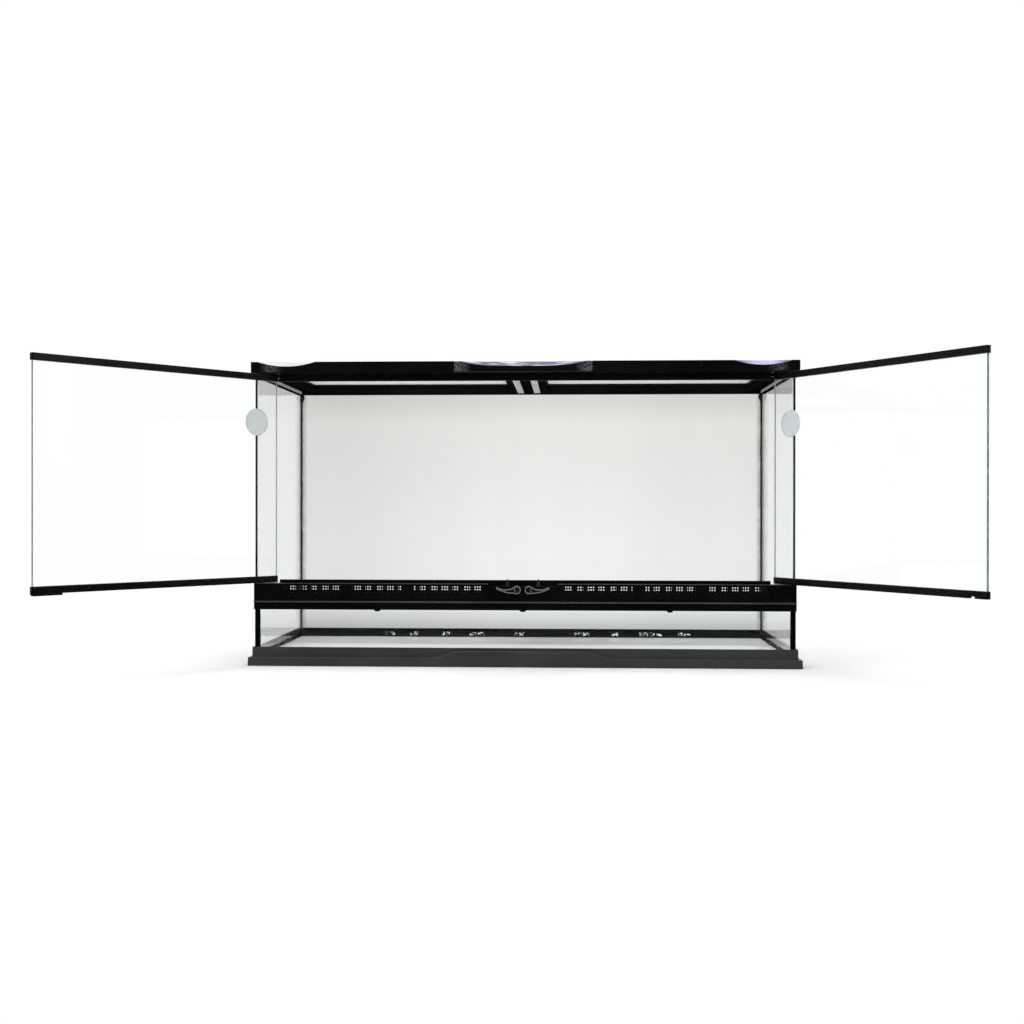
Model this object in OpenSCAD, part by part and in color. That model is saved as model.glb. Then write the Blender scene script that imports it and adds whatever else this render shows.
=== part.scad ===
// Front-opening glass terrarium cabinet with two swing doors.
// X runs to the right, -Y to the front and Z up. The origin is under the
// middle of the base, on the surface that the cabinet stands on.
// The doors are drawn standing open.

/* [Cabinet] */
// Width over the two side panes
tank_w = 900; // [840:1:1100]
// Depth over the back pane and the lower front pane
tank_d = 352; // [320:1:500]
// Overall height, up to the top of the front beam
cabinet_h = 508; // [460:1:640]

/* [Panes] */
// Thickness of the side, back and lower front panes
wall_t = 5; // [4:0.5:6]
// Thickness of the floor pane
floor_t = 5; // [4:0.5:8]
// Joint between two panes, filled with silicone
seam_gap = 1; // [0.6:0.1:1.5]
// Leg of the silicone fillet in each inner corner
seam_leg = 4; // [2:0.5:6]
// Play between a pane and the frame that holds it
pane_play = 0.3; // [0.2:0.05:0.5]

/* [Base] */
// Height of the upright band of the base
band_h = 31; // [26:0.5:45]
// Thickness of that band
band_t = 3.7; // [2.5:0.1:5]
// Height of the flange round the foot of the base
flange_h = 14; // [8:0.5:18]
// How far the flange stands out from the band
flange_out = 6.5; // [4:0.5:12]
// Height of the shelf that carries the panes
shelf_h = 11; // [8:0.5:16]
// Thickness of the shelf
shelf_t = 4; // [3:0.5:6]
// How far the shelf reaches in from the band
shelf_in = 18; // [12:1:40]
// Thickness of the rib under the shelf's inner edge
shelf_rib = 3; // [2:0.5:5]
// Width of the brace across the middle of the base
brace_w = 40; // [20:1:80]
// How far the wave rises above the flange
wave_rise = 11.5; // [5:0.5:14]
// Length of the level top of the wave
wave_flat = 196; // [100:1:300]
// Length of each sloping end of the wave
wave_fall = 60; // [30:1:100]
// Bevel along the upper edges of the base
base_bevel = 1; // [0.5:0.1:2]

/* [Vent strip] */
// Height of the ledge under the doors
ledge_h = 138; // [110:0.5:180]
// Height of the strip from its foot to the ledge
strip_h = 44; // [40:0.5:60]
// How far the strip's face stands in front of the panes
strip_out = 6; // [5:0.5:10]
// Thickness of the strip's walls
strip_wall = 2.5; // [2:0.1:3]
// How far the door stop rises above the ledge
stop_rise = 5.5; // [3:0.5:8]
// Thickness of the door stops
stop_t = 3; // [2:0.5:5]
// Gap between a closed door and its stops
stop_gap = 0.5; // [0.3:0.1:1]
// Height of the channel that grips the lower front pane
channel_h = 12; // [8:0.5:14]
// Height of the bead above the channel
bead_h = 4; // [2:0.5:5]
// How far the bead stands out
bead_out = 1.5; // [0.5:0.1:2]
// Half length of the recess in the ledge for the door catches
pan_half = 57; // [54:1:60]
// Depth of that recess
pan_drop = 4.4; // [4.2:0.1:4.6]
// Length of each clip under the strip
clip_w = 12; // [8:1:20]
// How far each clip hangs below the strip
clip_drop = 2.6; // [1.5:0.1:4]
// Distance of the outer clips from the middle one
clip_pitch = 243; // [150:1:300]

/* [Grille] */
// Thickness of a grille plate
grille_t = 1.5; // [1:0.1:1.8]
// Distance from the middle of the strip to a grille plate
grille_in = 62; // [61:0.5:70]
// Distance from a grille plate to the side of the cabinet
grille_end = 44; // [42:1:60]
// Plain margin round the slots
grille_rim = 3; // [2:0.5:4]
// Length of the slotted run nearest the middle
run_inner = 117; // [60:1:130]
// Length of the slotted run nearest the side
run_outer = 97; // [60:1:110]
// Plain rib between two runs
run_rib = 20; // [8:1:30]
// Distance from one slot to the next
slot_pitch = 4.2; // [3.5:0.1:6]
// Width of a slot
slot_w = 2.2; // [1.5:0.1:2.6]
// Distance from the middle of the strip to the first window in its rear wall
window_in = 70.5; // [64:0.5:90]
// Distance from one window in the strip's rear wall to the next
window_pitch = 18.4; // [16:0.1:30]
// Width of a rear window
window_w = 11; // [8:0.5:14]
// Height of a rear window
window_h = 8.5; // [6:0.5:10]

/* [Top frame] */
// How far the frame stands out from the panes
frame_out = 6; // [5:0.5:10]
// Height of the frame at the sides and back
frame_h = 20; // [17:0.5:30]
// How far the front beam rises above the rest
front_rise = 4.5; // [2:0.5:8]
// Height of the front beam's face
beam_h = 20; // [19:0.5:24]
// Width of the front, back and side beams seen from above
beam_w = 42; // [34:1:60]
// Narrower width of the front and back beams
beam_d = 36; // [35:1:50]
// Width of the ledge that the screens rest on
seat_w = 10; // [6:0.5:14]
// Thickness of the frame's walls
frame_wall = 3; // [2.5:0.1:3.5]
// How deep the panes sit in the frame
groove_d = 10; // [8:0.5:12]
// How far the upper door stop hangs below the front beam
top_stop = 11.5; // [6:0.5:12]
// Bevel along the upper edges of the frame
frame_bevel = 1; // [0.5:0.1:2]
// Distance from a scoop to the side of the frame
scoop_end = 60; // [58:1:80]
// Half length of a side scoop
scoop_half = 49; // [40:1:56]
// Half length of the middle scoop
mid_scoop_half = 105; // [60:1:140]
// Depth of the scoops in the front edge
scoop_d = 8; // [4:0.5:8.5]
// Angle at which the scoops run out on top
scoop_tilt = 40; // [18:1:50]
// Half length of the shallow pocket in the middle
pocket_half = 115; // [110:1:150]
// Depth of that pocket
pocket_d = 1.5; // [0.5:0.1:2]
// Distance from the pocket to the beam's lower edge
pocket_foot = 2; // [1:0.5:4]

/* [Crossbar and screens] */
// Width of the crossbar
cross_w = 68; // [60:1:90]
// Width of the rib between the two screens
cross_rib_w = 48; // [44:1:54]
// Width of each pale strip under the crossbar
strip_inlay_w = 12; // [4:0.5:13]
// Distance from the middle to each pale strip
strip_inlay_in = 9.5; // [8:0.5:14]
// Thickness of the pale strips
strip_inlay_t = 1.5; // [1:0.1:2]
// Distance between the grooves across the crossbar
groove_pitch = 12; // [8:1:20]
// Height of a screen
screen_h = 6; // [5:0.5:8]
// Width of a screen's bars
screen_bar = 12; // [11:0.5:18]
// Play round a screen
screen_play = 0.5; // [0.3:0.1:1]
// Thickness of the mesh
mesh_t = 1; // [0.8:0.1:1.5]
// Width of a mesh wire
mesh_wire = 1.2; // [0.8:0.1:1.5]
// Number of mesh openings along a screen
mesh_across = 14; // [6:1:14]
// Number of mesh openings from front to back
mesh_deep = 10; // [6:1:10]

/* [Doors] */
// Thickness of a door's pane
door_t = 4; // [3:0.5:5]
// Thickness of a door's rails
rail_t = 8; // [7.5:0.5:9]
// Height of a door's rails
rail_h = 11; // [9:0.5:13]
// Thickness of a rail above or below the pane
rail_cap = 4; // [3:0.5:5]
// Distance from a hinge axis to the side of the cabinet
pivot_in = 24; // [23.5:0.5:30]
// How far a door reaches past its hinge axis
hinge_end = 16; // [10:0.5:16]
// Gap above and below a door
door_play = 0.6; // [0.4:0.1:1]
// Gap between the two closed doors
door_gap = 1.5; // [1:0.1:3]
// How far a rail reaches past the free edge of the pane
rail_nose = 2.2; // [1:0.1:4]
// How far a rail reaches past the hinge edge of the pane
rail_heel = 2; // [1:0.5:4]
// Angle at which the left door stands open
left_open = 129.7; // [0:0.1:155]
// Angle at which the right door stands open
right_open = 122; // [0:0.1:155]
// Radius of the hinge pins
pin_r = 2.5; // [2:0.1:3]
// Play between a hinge pin and its bush
pin_play = 0.05; // [0.02:0.01:0.1]
// Radius of the hinge bushes
bush_r = 5; // [4:0.1:6]
// Height of the hinge bushes
bush_h = 9; // [6:0.5:10]
// How deep a hinge pin reaches into its bush
pin_reach = 8; // [4:0.5:8.5]
// Length of the catch block under the left door
catch_l = 48; // [30:1:50]
// Height of the catch block
catch_h = 3; // [2:0.1:3.3]
// Width of the notch under the right door
notch_w = 12; // [8:0.5:14]
// Distance from the middle to the notch
notch_x = 28.5; // [26:0.5:32]
// Radius of the round pad on each door
pad_r = 22.5; // [15:0.5:30]
// Thickness of the round pad
pad_t = 1.2; // [0.8:0.1:2]
// Distance from the middle of the left door's pad to the hinge edge of the pane
left_pad_in = 42.5; // [32:0.5:80]
// Distance from the middle of the right door's pad to the hinge edge of the pane
right_pad_in = 40; // [32:0.5:80]
// Height of the middle of the left door's pad
left_pad_z = 406.5; // [300:0.5:420]
// Height of the middle of the right door's pad
right_pad_z = 402.5; // [300:0.5:420]

/* [Latches] */
// Distance from the middle to a latch's hub
hub_x = 10; // [9:0.1:11]
// Distance from the hub down from the ledge
hub_drop = 10; // [9.8:0.1:10.4]
// Radius of a latch's hub
hub_r = 3.5; // [3:0.1:3.8]
// Play between the hub and the strip
hub_play = 0.06; // [0.03:0.01:0.1]
// Radius of a lever's round head
head_r = 6.8; // [5.5:0.1:7.2]
// Width of the rim round the dish in that head
head_rim = 2.5; // [1.5:0.1:3]
// Thickness of a lever
lever_t = 3.5; // [2.5:0.1:5]
// Gap between a lever and the strip's face
lever_gap = 0.4; // [0.3:0.1:0.8]
// Length of a lever from its hub to its tip
lever_l = 32.5; // [25:0.5:40]
// Distance from the middle to the point of a hook
hook_x = 25.7; // [24:0.1:27]
// Width of a hook at its foot
hook_w = 9.5; // [6:0.1:10]
// Height of a hook's point above the ledge
hook_rise = 7.6; // [5:0.1:7.8]
// Thickness of a hook
hook_t = 2.4; // [1.5:0.1:2.4]
// Radius of the latch screw
screw_r = 1.2; // [1:0.1:1.5]

/* [Hidden] */
$fn = 64;
// Cuts run past a surface by this much
eps = 1;
// Joined solids run into each other by this much
bite = 0.4;

// Panes: half sizes over the outer and inner faces
half_w = tank_w / 2;
half_d = tank_d / 2;
in_w = half_w - wall_t;
in_d = half_d - wall_t;
pane_half_w = in_w - seam_gap;
floor_top = shelf_h + floor_t;

// Base: half sizes of each step
band_in_w = half_w + pane_play;
band_in_d = half_d + pane_play;
band_w = band_in_w + band_t;
band_d = band_in_d + band_t;
flange_w = band_w + flange_out;
flange_d = band_d + flange_out;
shelf_w = band_in_w - shelf_in;
shelf_d = band_in_d - shelf_in;

// Closed doors: plane, reach and heights
door_y = -half_d + rail_t / 2;
pivot_x = half_w - pivot_in;
door_far = pivot_x + hinge_end;
over_z = cabinet_h - beam_h;
rail_low_z = ledge_h + door_play;
rail_high_z = over_z - door_play;
glass_near = door_gap / 2 + rail_nose;
glass_far = door_far - rail_heel;
glass_low_z = rail_low_z + rail_cap;
glass_high_z = rail_high_z - rail_cap;
stop_y = -half_d + rail_t + stop_gap;
stop_back = stop_y + stop_t;
stop_half = pivot_x - hinge_end;

// Vent strip
strip_z = ledge_h - strip_h;
strip_y = -half_d - strip_out;
strip_in_y = strip_y + strip_wall;
strip_back = stop_back + strip_wall;
strip_half = in_w - pane_play;
strip_end = half_w + bite;
channel_z = strip_z + channel_h;
front_pane_z = channel_z - strip_wall;
pan_z = ledge_h - pan_drop;
grille_out = half_w - grille_end;
grille_low = channel_z + bead_h + 2;
grille_high = ledge_h - 2;
run_middle = grille_out - grille_in - 2 * grille_rim - run_inner - run_outer - 2 * run_rib;
run_1 = grille_in + grille_rim;
run_2 = run_1 + run_inner + run_rib;
run_3 = run_2 + run_middle + run_rib;
RUNS = [[run_1, run_inner], [run_2, run_middle], [run_3, run_outer]];
window_top = ledge_h - strip_wall - 1.5;

// Top frame
rim_z = cabinet_h - front_rise;
frame_z = rim_z - frame_h;
frame_half_w = half_w + frame_out;
frame_half_d = half_d + frame_out;
hole_w = frame_half_w - beam_w;
hole_d = frame_half_d - beam_d;
rim_w = hole_w + seat_w;
rim_d = hole_d + seat_w;
seat_z = rim_z - screen_h;
pane_top = frame_z + groove_d;
sweep_back = door_y + hinge_end + 1.5;

// Crossbar and screens
rib_half = cross_rib_w / 2;
screen_near = rib_half + screen_play;
screen_far = rim_w - screen_play;
screen_deep = rim_d - screen_play;
mesh_z = seat_z + screen_h / 2;
mesh_hold = screen_bar / 3;

// Latches
hub_z = ledge_h - hub_drop;
hook_y = strip_in_y + 0.3;
lever_y = strip_y - lever_gap;
hook_low = -4.5;
hook_high = 1.9;
hook_top = ledge_h + hook_rise - hub_z;
slot_near = hub_x - 7;
slot_far = hook_x + hook_w / 2 + 10;

PLASTIC = [0.03, 0.03, 0.033];
CHARCOAL = [0.2, 0.2, 0.21];
GLASS = [0.8, 0.9, 0.87, 0.3];
SILICONE = [0.02, 0.02, 0.02];
STEEL = [0.6, 0.6, 0.62];
PALE = [0.78, 0.8, 0.82];

// A box given by its two ends along each axis
module box(x0, x1, y0, y1, z0, z1) {
    translate([x0, y0, z0]) cube([x1 - x0, y1 - y0, z1 - z0]);
}

// A box centred on the cabinet's middle, given by its half sizes
module centred_box(half_x, half_y, z0, z1) {
    box(-half_x, half_x, -half_y, half_y, z0, z1);
}

// An outline in Y and Z, carried along X from x0 to x1
module along_x(x0, x1, points) {
    translate([x0, 0, 0]) rotate([90, 0, 90]) linear_extrude(x1 - x0) polygon(points);
}

// An outline in X and Z, carried along Y from y0 to y1
module along_y(y0, y1) {
    translate([0, y1, 0]) rotate([90, 0, 0]) linear_extrude(y1 - y0) children();
}

// The same shape on both sides of the cabinet's middle
module both_sides() {
    children();
    mirror([1, 0, 0]) children();
}

// Points of a falling wave, from its level top down to the flange
function wave_side(dir) = [
    for (i = [0:16])
        let (t = i / 16)
        [dir * (wave_flat / 2 + wave_fall * t), flange_h + wave_rise * (1 + cos(180 * t)) / 2]
];

// ---------------------------------------------------------------- base

// Stepped outline of the base, half sizes of flange and band
function base_outline(flange, band) = [
    [-flange, 0],
    [-flange, flange_h - base_bevel],
    [-flange + base_bevel, flange_h],
    [-band, flange_h],
    [-band, band_h - base_bevel],
    [-band + base_bevel, band_h],
    [band - base_bevel, band_h],
    [band, band_h - base_bevel],
    [band, flange_h],
    [flange - base_bevel, flange_h],
    [flange, flange_h - base_bevel],
    [flange, 0]
];

// Wave that rises from the front flange, against the band
module base_wave() {
    last = wave_flat / 2 + wave_fall;
    along_y(-flange_d, -band_d + bite)
        polygon(concat(
            [[-last, flange_h - base_bevel - bite]],
            [for (i = [16:-1:0]) wave_side(-1)[i]],
            wave_side(1),
            [[last, flange_h - base_bevel - bite]]
        ));
}

module base_frame() {
    color(CHARCOAL) {
        difference() {
            intersection() {
                along_x(-flange_w, flange_w, base_outline(flange_d, band_d));
                along_y(-flange_d, flange_d) polygon(base_outline(flange_w, band_w));
            }
            centred_box(band_in_w, band_in_d, shelf_h, band_h + eps);
            centred_box(band_in_w, band_in_d, -eps, shelf_h - shelf_t);
            centred_box(shelf_w, shelf_d, -eps, band_h);
        }
        difference() {
            centred_box(shelf_w + shelf_rib, shelf_d + shelf_rib, 0, shelf_h - shelf_t + bite);
            centred_box(shelf_w, shelf_d, -eps, band_h);
        }
        centred_box(brace_w / 2, shelf_d + bite, 0, shelf_h);
        base_wave();
    }
}

// --------------------------------------------------------------- panes

module floor_pane() {
    color(GLASS) centred_box(pane_half_w, in_d - seam_gap, shelf_h, floor_top);
}

module back_pane() {
    color(GLASS) box(-pane_half_w, pane_half_w, in_d, half_d, shelf_h, pane_top);
}

module right_pane() {
    color(GLASS) box(in_w, half_w, -half_d, half_d, shelf_h, pane_top);
}

module left_pane() {
    mirror([1, 0, 0]) right_pane();
}

module lower_front_pane() {
    color(GLASS) box(-pane_half_w, pane_half_w, -half_d, -in_d, shelf_h, front_pane_z);
}

// Upright seam at one right-hand corner, dir is -1 at the front and 1 at the back
module corner_seam(dir, top) {
    low = floor_top + seam_leg;
    translate([0, 0, shelf_h]) linear_extrude(top - shelf_h)
        polygon([
            [pane_half_w, dir * in_d],
            [in_w, dir * in_d],
            [in_w, dir * half_d],
            [pane_half_w, dir * half_d]
        ]);
    translate([0, 0, low]) linear_extrude(top - low)
        polygon([
            [in_w - seam_leg, dir * in_d],
            [in_w, dir * in_d],
            [in_w, dir * (in_d - seam_leg)]
        ]);
}

module corner_seams() {
    color(SILICONE) both_sides() {
        corner_seam(1, frame_z);
        corner_seam(-1, strip_z);
    }
}

// Silicone round the floor pane: the joint, and a fillet above it
module floor_seam() {
    color(SILICONE) {
        difference() {
            centred_box(in_w, in_d, shelf_h, floor_top + bite);
            centred_box(pane_half_w, in_d - seam_gap, -eps, floor_top);
            centred_box(in_w - seam_leg + bite, in_d - seam_leg + bite, -eps, floor_top + eps);
        }
        both_sides() along_y(-in_d, in_d)
            polygon([[in_w - seam_leg, floor_top], [in_w, floor_top], [in_w, floor_top + seam_leg]]);
        for (dir = [-1, 1])
            along_x(-in_w, in_w, [
                [dir * (in_d - seam_leg), floor_top],
                [dir * in_d, floor_top],
                [dir * in_d, floor_top + seam_leg]
            ]);
    }
}

// ---------------------------------------------------------- vent strip

// Ledge, rear stop and the recess in the middle for the door catches
module strip_ledge() {
    ledge_under = ledge_h - strip_wall;
    pan_under = pan_z - strip_wall;
    difference() {
        box(-strip_half, strip_half, strip_y, strip_back, ledge_under, ledge_h);
        box(-pan_half, pan_half, strip_y - eps, stop_y, ledge_under - eps, ledge_h + eps);
    }
    box(-stop_half, stop_half, stop_y, stop_back, ledge_under, ledge_h + stop_rise);
    box(-pan_half, pan_half, stop_y, stop_back, pan_under, ledge_h);
    box(-pan_half - strip_wall, pan_half + strip_wall, strip_in_y - bite, stop_back,
        pan_under, pan_z);
    both_sides()
        box(pan_half, pan_half + strip_wall, strip_in_y - bite, stop_back, pan_under, ledge_h);
}

// Bosses round the lower hinge bushes
module strip_bosses() {
    both_sides() translate([pivot_x, door_y, ledge_h - bush_h - strip_wall])
        cylinder(r = bush_r + 2, h = bush_h + strip_wall - bite);
}

// Row of windows in the rear wall, behind the grille
module rear_windows() {
    count = floor((grille_out - window_in - window_w) / window_pitch);
    for (i = [0:count])
        translate([window_in + i * window_pitch, stop_back - eps, window_top - window_h])
            cube([window_w, strip_wall + 2 * eps, window_h]);
}

module vent_strip() {
    color(PLASTIC) difference() {
        union() {
            // Face, with ends that cover the side panes' front edges
            box(-strip_end, strip_end, strip_y, strip_in_y, strip_z, ledge_h);
            both_sides()
                box(in_w, strip_end, strip_in_y - bite, -half_d - pane_play, strip_z, ledge_h);
            // Bead along the face
            box(-strip_end, strip_end, strip_y - bead_out, strip_in_y - bite,
                channel_z, channel_z + bead_h);
            // Channel that grips the lower front pane
            box(-strip_half, strip_half, strip_in_y - bite, -half_d - pane_play,
                strip_z, channel_z);
            box(-strip_half, strip_half, -in_d + pane_play, -in_d + pane_play + strip_wall,
                strip_z, channel_z);
            box(-strip_half, strip_half, strip_in_y - bite, strip_back,
                front_pane_z, channel_z);
            // Rear wall
            box(-strip_half, strip_half, stop_back, strip_back, front_pane_z, ledge_h);
            strip_ledge();
            strip_bosses();
        }
        // Front edge lowered across the recess
        box(-pan_half, pan_half, strip_y - eps, strip_in_y + bite, pan_z, ledge_h + eps);
        // Slot for the hooks and their hubs
        both_sides()
            box(slot_near, slot_far, strip_in_y, hook_y + hook_t + 0.4,
                hub_z - hub_drop, ledge_h + eps);
        both_sides() translate([hub_x, strip_y - eps, hub_z]) rotate([-90, 0, 0])
            cylinder(r = hub_r + hub_play, h = strip_wall + 2 * eps);
        both_sides() translate([pivot_x, door_y, ledge_h - bush_h])
            cylinder(r = bush_r, h = bush_h + eps);
        // Openings for the grilles, each with a rebate round it
        both_sides() {
            box(grille_in + 2, grille_out - 2, strip_y - eps, strip_in_y + eps,
                grille_low + 2, grille_high - 2);
            box(grille_in - pane_play, grille_out + pane_play, strip_y - eps, strip_y + grille_t,
                grille_low - pane_play, grille_high + pane_play);
            rear_windows();
        }
    }
}

// Slotted plate in the right half of the strip's face
module right_grille() {
    color(PLASTIC) difference() {
        box(grille_in, grille_out, strip_y, strip_y + grille_t, grille_low, grille_high);
        for (run = RUNS)
            let (count = floor((run[1] - slot_w) / slot_pitch),
                 first = run[0] + (run[1] - count * slot_pitch - slot_w) / 2)
            for (i = [0:count])
                translate([first + i * slot_pitch, strip_y - eps, grille_low + grille_rim])
                    cube([slot_w, grille_t + 2 * eps, grille_high - grille_low - 2 * grille_rim]);
    }
}

module left_grille() {
    mirror([1, 0, 0]) right_grille();
}

// Three clips that hook under the strip's channel
module strip_clips() {
    color(PLASTIC) for (i = [-1:1])
        translate([i * clip_pitch, 0, 0]) along_y(strip_y, -half_d - pane_play)
            polygon([
                [-clip_w / 2, strip_z],
                [-clip_w / 4, strip_z - clip_drop],
                [clip_w / 4, strip_z - clip_drop],
                [clip_w / 2, strip_z]
            ]);
}

// ----------------------------------------------------------- top frame

// Outline of the ring at the sides and back, seen along one axis
function ring_outline(half) = [
    [-half, frame_z],
    [-half, rim_z - frame_bevel],
    [-half + frame_bevel, rim_z],
    [half - frame_bevel, rim_z],
    [half, rim_z - frame_bevel],
    [half, frame_z]
];

// Outline of the front beam from front to back
BEAM_OUTLINE = [
    [-frame_half_d, over_z],
    [-frame_half_d, cabinet_h - frame_bevel],
    [-frame_half_d + frame_bevel, cabinet_h],
    [-rim_d - front_rise, cabinet_h],
    [-rim_d, rim_z],
    [-rim_d, over_z]
];

// Outline of the front beam from end to end
BEAM_ENDS = [
    [-frame_half_w, over_z],
    [-frame_half_w, cabinet_h - frame_bevel],
    [-frame_half_w + frame_bevel, cabinet_h],
    [frame_half_w - frame_bevel, cabinet_h],
    [frame_half_w, cabinet_h - frame_bevel],
    [frame_half_w, over_z]
];

// A dip in the front edge that rises towards the back, with power 2 for a
// round dip and more for one with a flatter floor
module scoop(half, power) {
    depth = scoop_d * cos(scoop_tilt);
    translate([0, -frame_half_d, cabinet_h]) rotate([scoop_tilt - 90, 0, 0])
        translate([0, 0, -2 * scoop_d]) linear_extrude(2 * scoop_d + scoop_d / sin(scoop_tilt) + eps)
        polygon(concat(
            [for (i = [-16:16]) [half * i / 16, depth * (1 - pow(abs(i / 16), power))]],
            [[half, -4 * scoop_d], [-half, -4 * scoop_d]]
        ));
}

// Hollows under the beams, open at the bottom
module frame_hollows() {
    wall = frame_wall;
    side_out = in_w - pane_play - wall;
    back_out = in_d - pane_play - wall;
    low_roof = seat_z - wall;
    high_roof = rim_z - wall;
    both_sides() {
        box(hole_w + wall, side_out, -hole_d, hole_d, frame_z - eps, low_roof);
        box(rim_w + wall, side_out, -hole_d, hole_d, low_roof - eps, high_roof);
    }
    box(-hole_w, hole_w, hole_d + wall, back_out, frame_z - eps, low_roof);
    box(-hole_w, hole_w, rim_d + wall, back_out, low_roof - eps, high_roof);
    box(-stop_half, stop_half, stop_back, -hole_d - wall, frame_z - eps, low_roof);
    box(-stop_half, stop_half, -frame_half_d + wall + pocket_d, stop_back + bite,
        over_z + wall, over_z + wall + 5);
}

module top_frame() {
    color(PLASTIC) difference() {
        union() {
            difference() {
                union() {
                    intersection() {
                        along_x(-frame_half_w, frame_half_w, ring_outline(frame_half_d));
                        along_y(-frame_half_d, frame_half_d) polygon(ring_outline(frame_half_w));
                    }
                    intersection() {
                        along_x(-frame_half_w, frame_half_w, BEAM_OUTLINE);
                        along_y(-frame_half_d, frame_half_d) polygon(BEAM_ENDS);
                    }
                }
                // Room for the doors under the front beam
                box(-frame_half_w - eps, frame_half_w + eps, -frame_half_d - eps, stop_back,
                    frame_z - eps, over_z);
                both_sides() box(stop_half - 2, in_w, stop_back - eps, sweep_back,
                    frame_z - eps, over_z);
            }
            box(-stop_half, stop_half, stop_y, stop_back, over_z - top_stop, over_z + bite);
        }
        centred_box(hole_w, hole_d, frame_z - eps, cabinet_h);
        centred_box(rim_w, rim_d, seat_z, cabinet_h + eps);
        // Grooves that the panes sit in
        both_sides() box(in_w - pane_play, half_w + pane_play, -half_d - pane_play,
            half_d + pane_play, frame_z - eps, pane_top + pane_play);
        box(-in_w, in_w, in_d - pane_play, half_d + pane_play, frame_z - eps,
            pane_top + pane_play);
        frame_hollows();
        both_sides() translate([pivot_x, door_y, over_z - eps])
            cylinder(r = bush_r, h = bush_h + eps);
        // Scoops and the pocket in the middle
        both_sides() translate([frame_half_w - scoop_end, 0, 0]) scoop(scoop_half, 2);
        scoop(mid_scoop_half, 4);
        box(-pocket_half, pocket_half, -frame_half_d - eps, -frame_half_d + pocket_d,
            over_z + pocket_foot, cabinet_h + eps);
    }
}

module crossbar() {
    low = frame_z;
    groove_count = floor((hole_d - groove_pitch) / groove_pitch);
    color(PLASTIC) difference() {
        union() {
            centred_box(cross_w / 2, hole_d, low, seat_z);
            centred_box(rib_half, rim_d - pane_play, seat_z, rim_z);
        }
        both_sides() box(strip_inlay_in, strip_inlay_in + strip_inlay_w, -hole_d - eps,
            hole_d + eps, low - eps, low + strip_inlay_t);
        for (i = [-groove_count:groove_count])
            box(-strip_inlay_in + 2, strip_inlay_in - 2, i * groove_pitch - groove_pitch / 4,
                i * groove_pitch + groove_pitch / 4, low - eps, low + strip_inlay_t);
        centred_box(rib_half - frame_wall, rim_d - 4 * frame_wall, seat_z - frame_wall,
            rim_z + eps);
    }
}

module crossbar_strips() {
    color(PALE) both_sides() box(strip_inlay_in, strip_inlay_in + strip_inlay_w, -hole_d, hole_d,
        frame_z, frame_z + strip_inlay_t);
}

// A bush that stands at z, on both sides
module bushes(z) {
    both_sides() translate([pivot_x, door_y, z]) difference() {
        cylinder(r = bush_r, h = bush_h);
        translate([0, 0, -eps]) cylinder(r = pin_r + pin_play, h = bush_h + 2 * eps);
    }
}

module upper_hinge_bushes() {
    color(PALE) bushes(over_z);
}

module lower_hinge_bushes() {
    color(PALE) bushes(ledge_h - bush_h);
}

// ------------------------------------------------------------- screens

module right_screen_frame() {
    color(PLASTIC) difference() {
        box(screen_near, screen_far, -screen_deep, screen_deep, seat_z, rim_z);
        box(screen_near + screen_bar, screen_far - screen_bar, -screen_deep + screen_bar,
            screen_deep - screen_bar, seat_z - eps, rim_z + eps);
        box(screen_near + screen_bar - mesh_hold, screen_far - screen_bar + mesh_hold,
            -screen_deep + screen_bar - mesh_hold, screen_deep - screen_bar + mesh_hold,
            mesh_z, mesh_z + mesh_t);
    }
}

module left_screen_frame() {
    mirror([1, 0, 0]) right_screen_frame();
}

// Flat net of crossing wires, held in the screen's frame
module right_screen_mesh() {
    x0 = screen_near + screen_bar - mesh_hold;
    x1 = screen_far - screen_bar + mesh_hold;
    y1 = screen_deep - screen_bar + mesh_hold;
    step_x = (x1 - x0 - mesh_wire) / mesh_across;
    step_y = (2 * y1 - mesh_wire) / mesh_deep;
    color(STEEL) {
        for (i = [0:mesh_across])
            box(x0 + i * step_x, x0 + i * step_x + mesh_wire, -y1, y1, mesh_z, mesh_z + mesh_t);
        for (i = [0:mesh_deep])
            box(x0, x1, -y1 + i * step_y, -y1 + i * step_y + mesh_wire, mesh_z, mesh_z + mesh_t);
    }
}

module left_screen_mesh() {
    mirror([1, 0, 0]) right_screen_mesh();
}

// --------------------------------------------------------------- doors

// Turns a closed right-hand door about its hinge, to stand open
module swing_right() {
    translate([pivot_x, door_y, 0]) rotate([0, 0, right_open]) translate([-pivot_x, -door_y, 0])
        children();
}

// Mirrors a closed right-hand door to the left and opens it
module swing_left() {
    mirror([1, 0, 0]) translate([pivot_x, door_y, 0]) rotate([0, 0, left_open])
        translate([-pivot_x, -door_y, 0]) children();
}

module door_pane() {
    color(GLASS) box(glass_near, glass_far, door_y - door_t / 2, door_y + door_t / 2,
        glass_low_z, glass_high_z);
}

// Rail with round ends, grooved for the pane
module door_rail(z) {
    color(PLASTIC) difference() {
        translate([0, 0, z]) linear_extrude(rail_h) union() {
            translate([door_gap / 2 + rail_t / 4, door_y - rail_t / 2])
                square([door_far - door_gap / 2 - rail_t * 3 / 4, rail_t]);
            translate([door_gap / 2, door_y - rail_t / 4]) square([rail_t, rail_t / 2]);
            for (dir = [-1, 1]) translate([door_gap / 2 + rail_t / 4, door_y + dir * rail_t / 4])
                circle(r = rail_t / 4);
            translate([door_far - rail_t / 2, door_y]) circle(r = rail_t / 2);
        }
        box(glass_near, glass_far, door_y - door_t / 2, door_y + door_t / 2,
            glass_low_z, glass_high_z);
        for (pin_z = [rail_low_z - eps, rail_high_z - rail_cap])
            translate([pivot_x, door_y, pin_z]) cylinder(r = pin_r, h = rail_cap + eps);
    }
}

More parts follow.
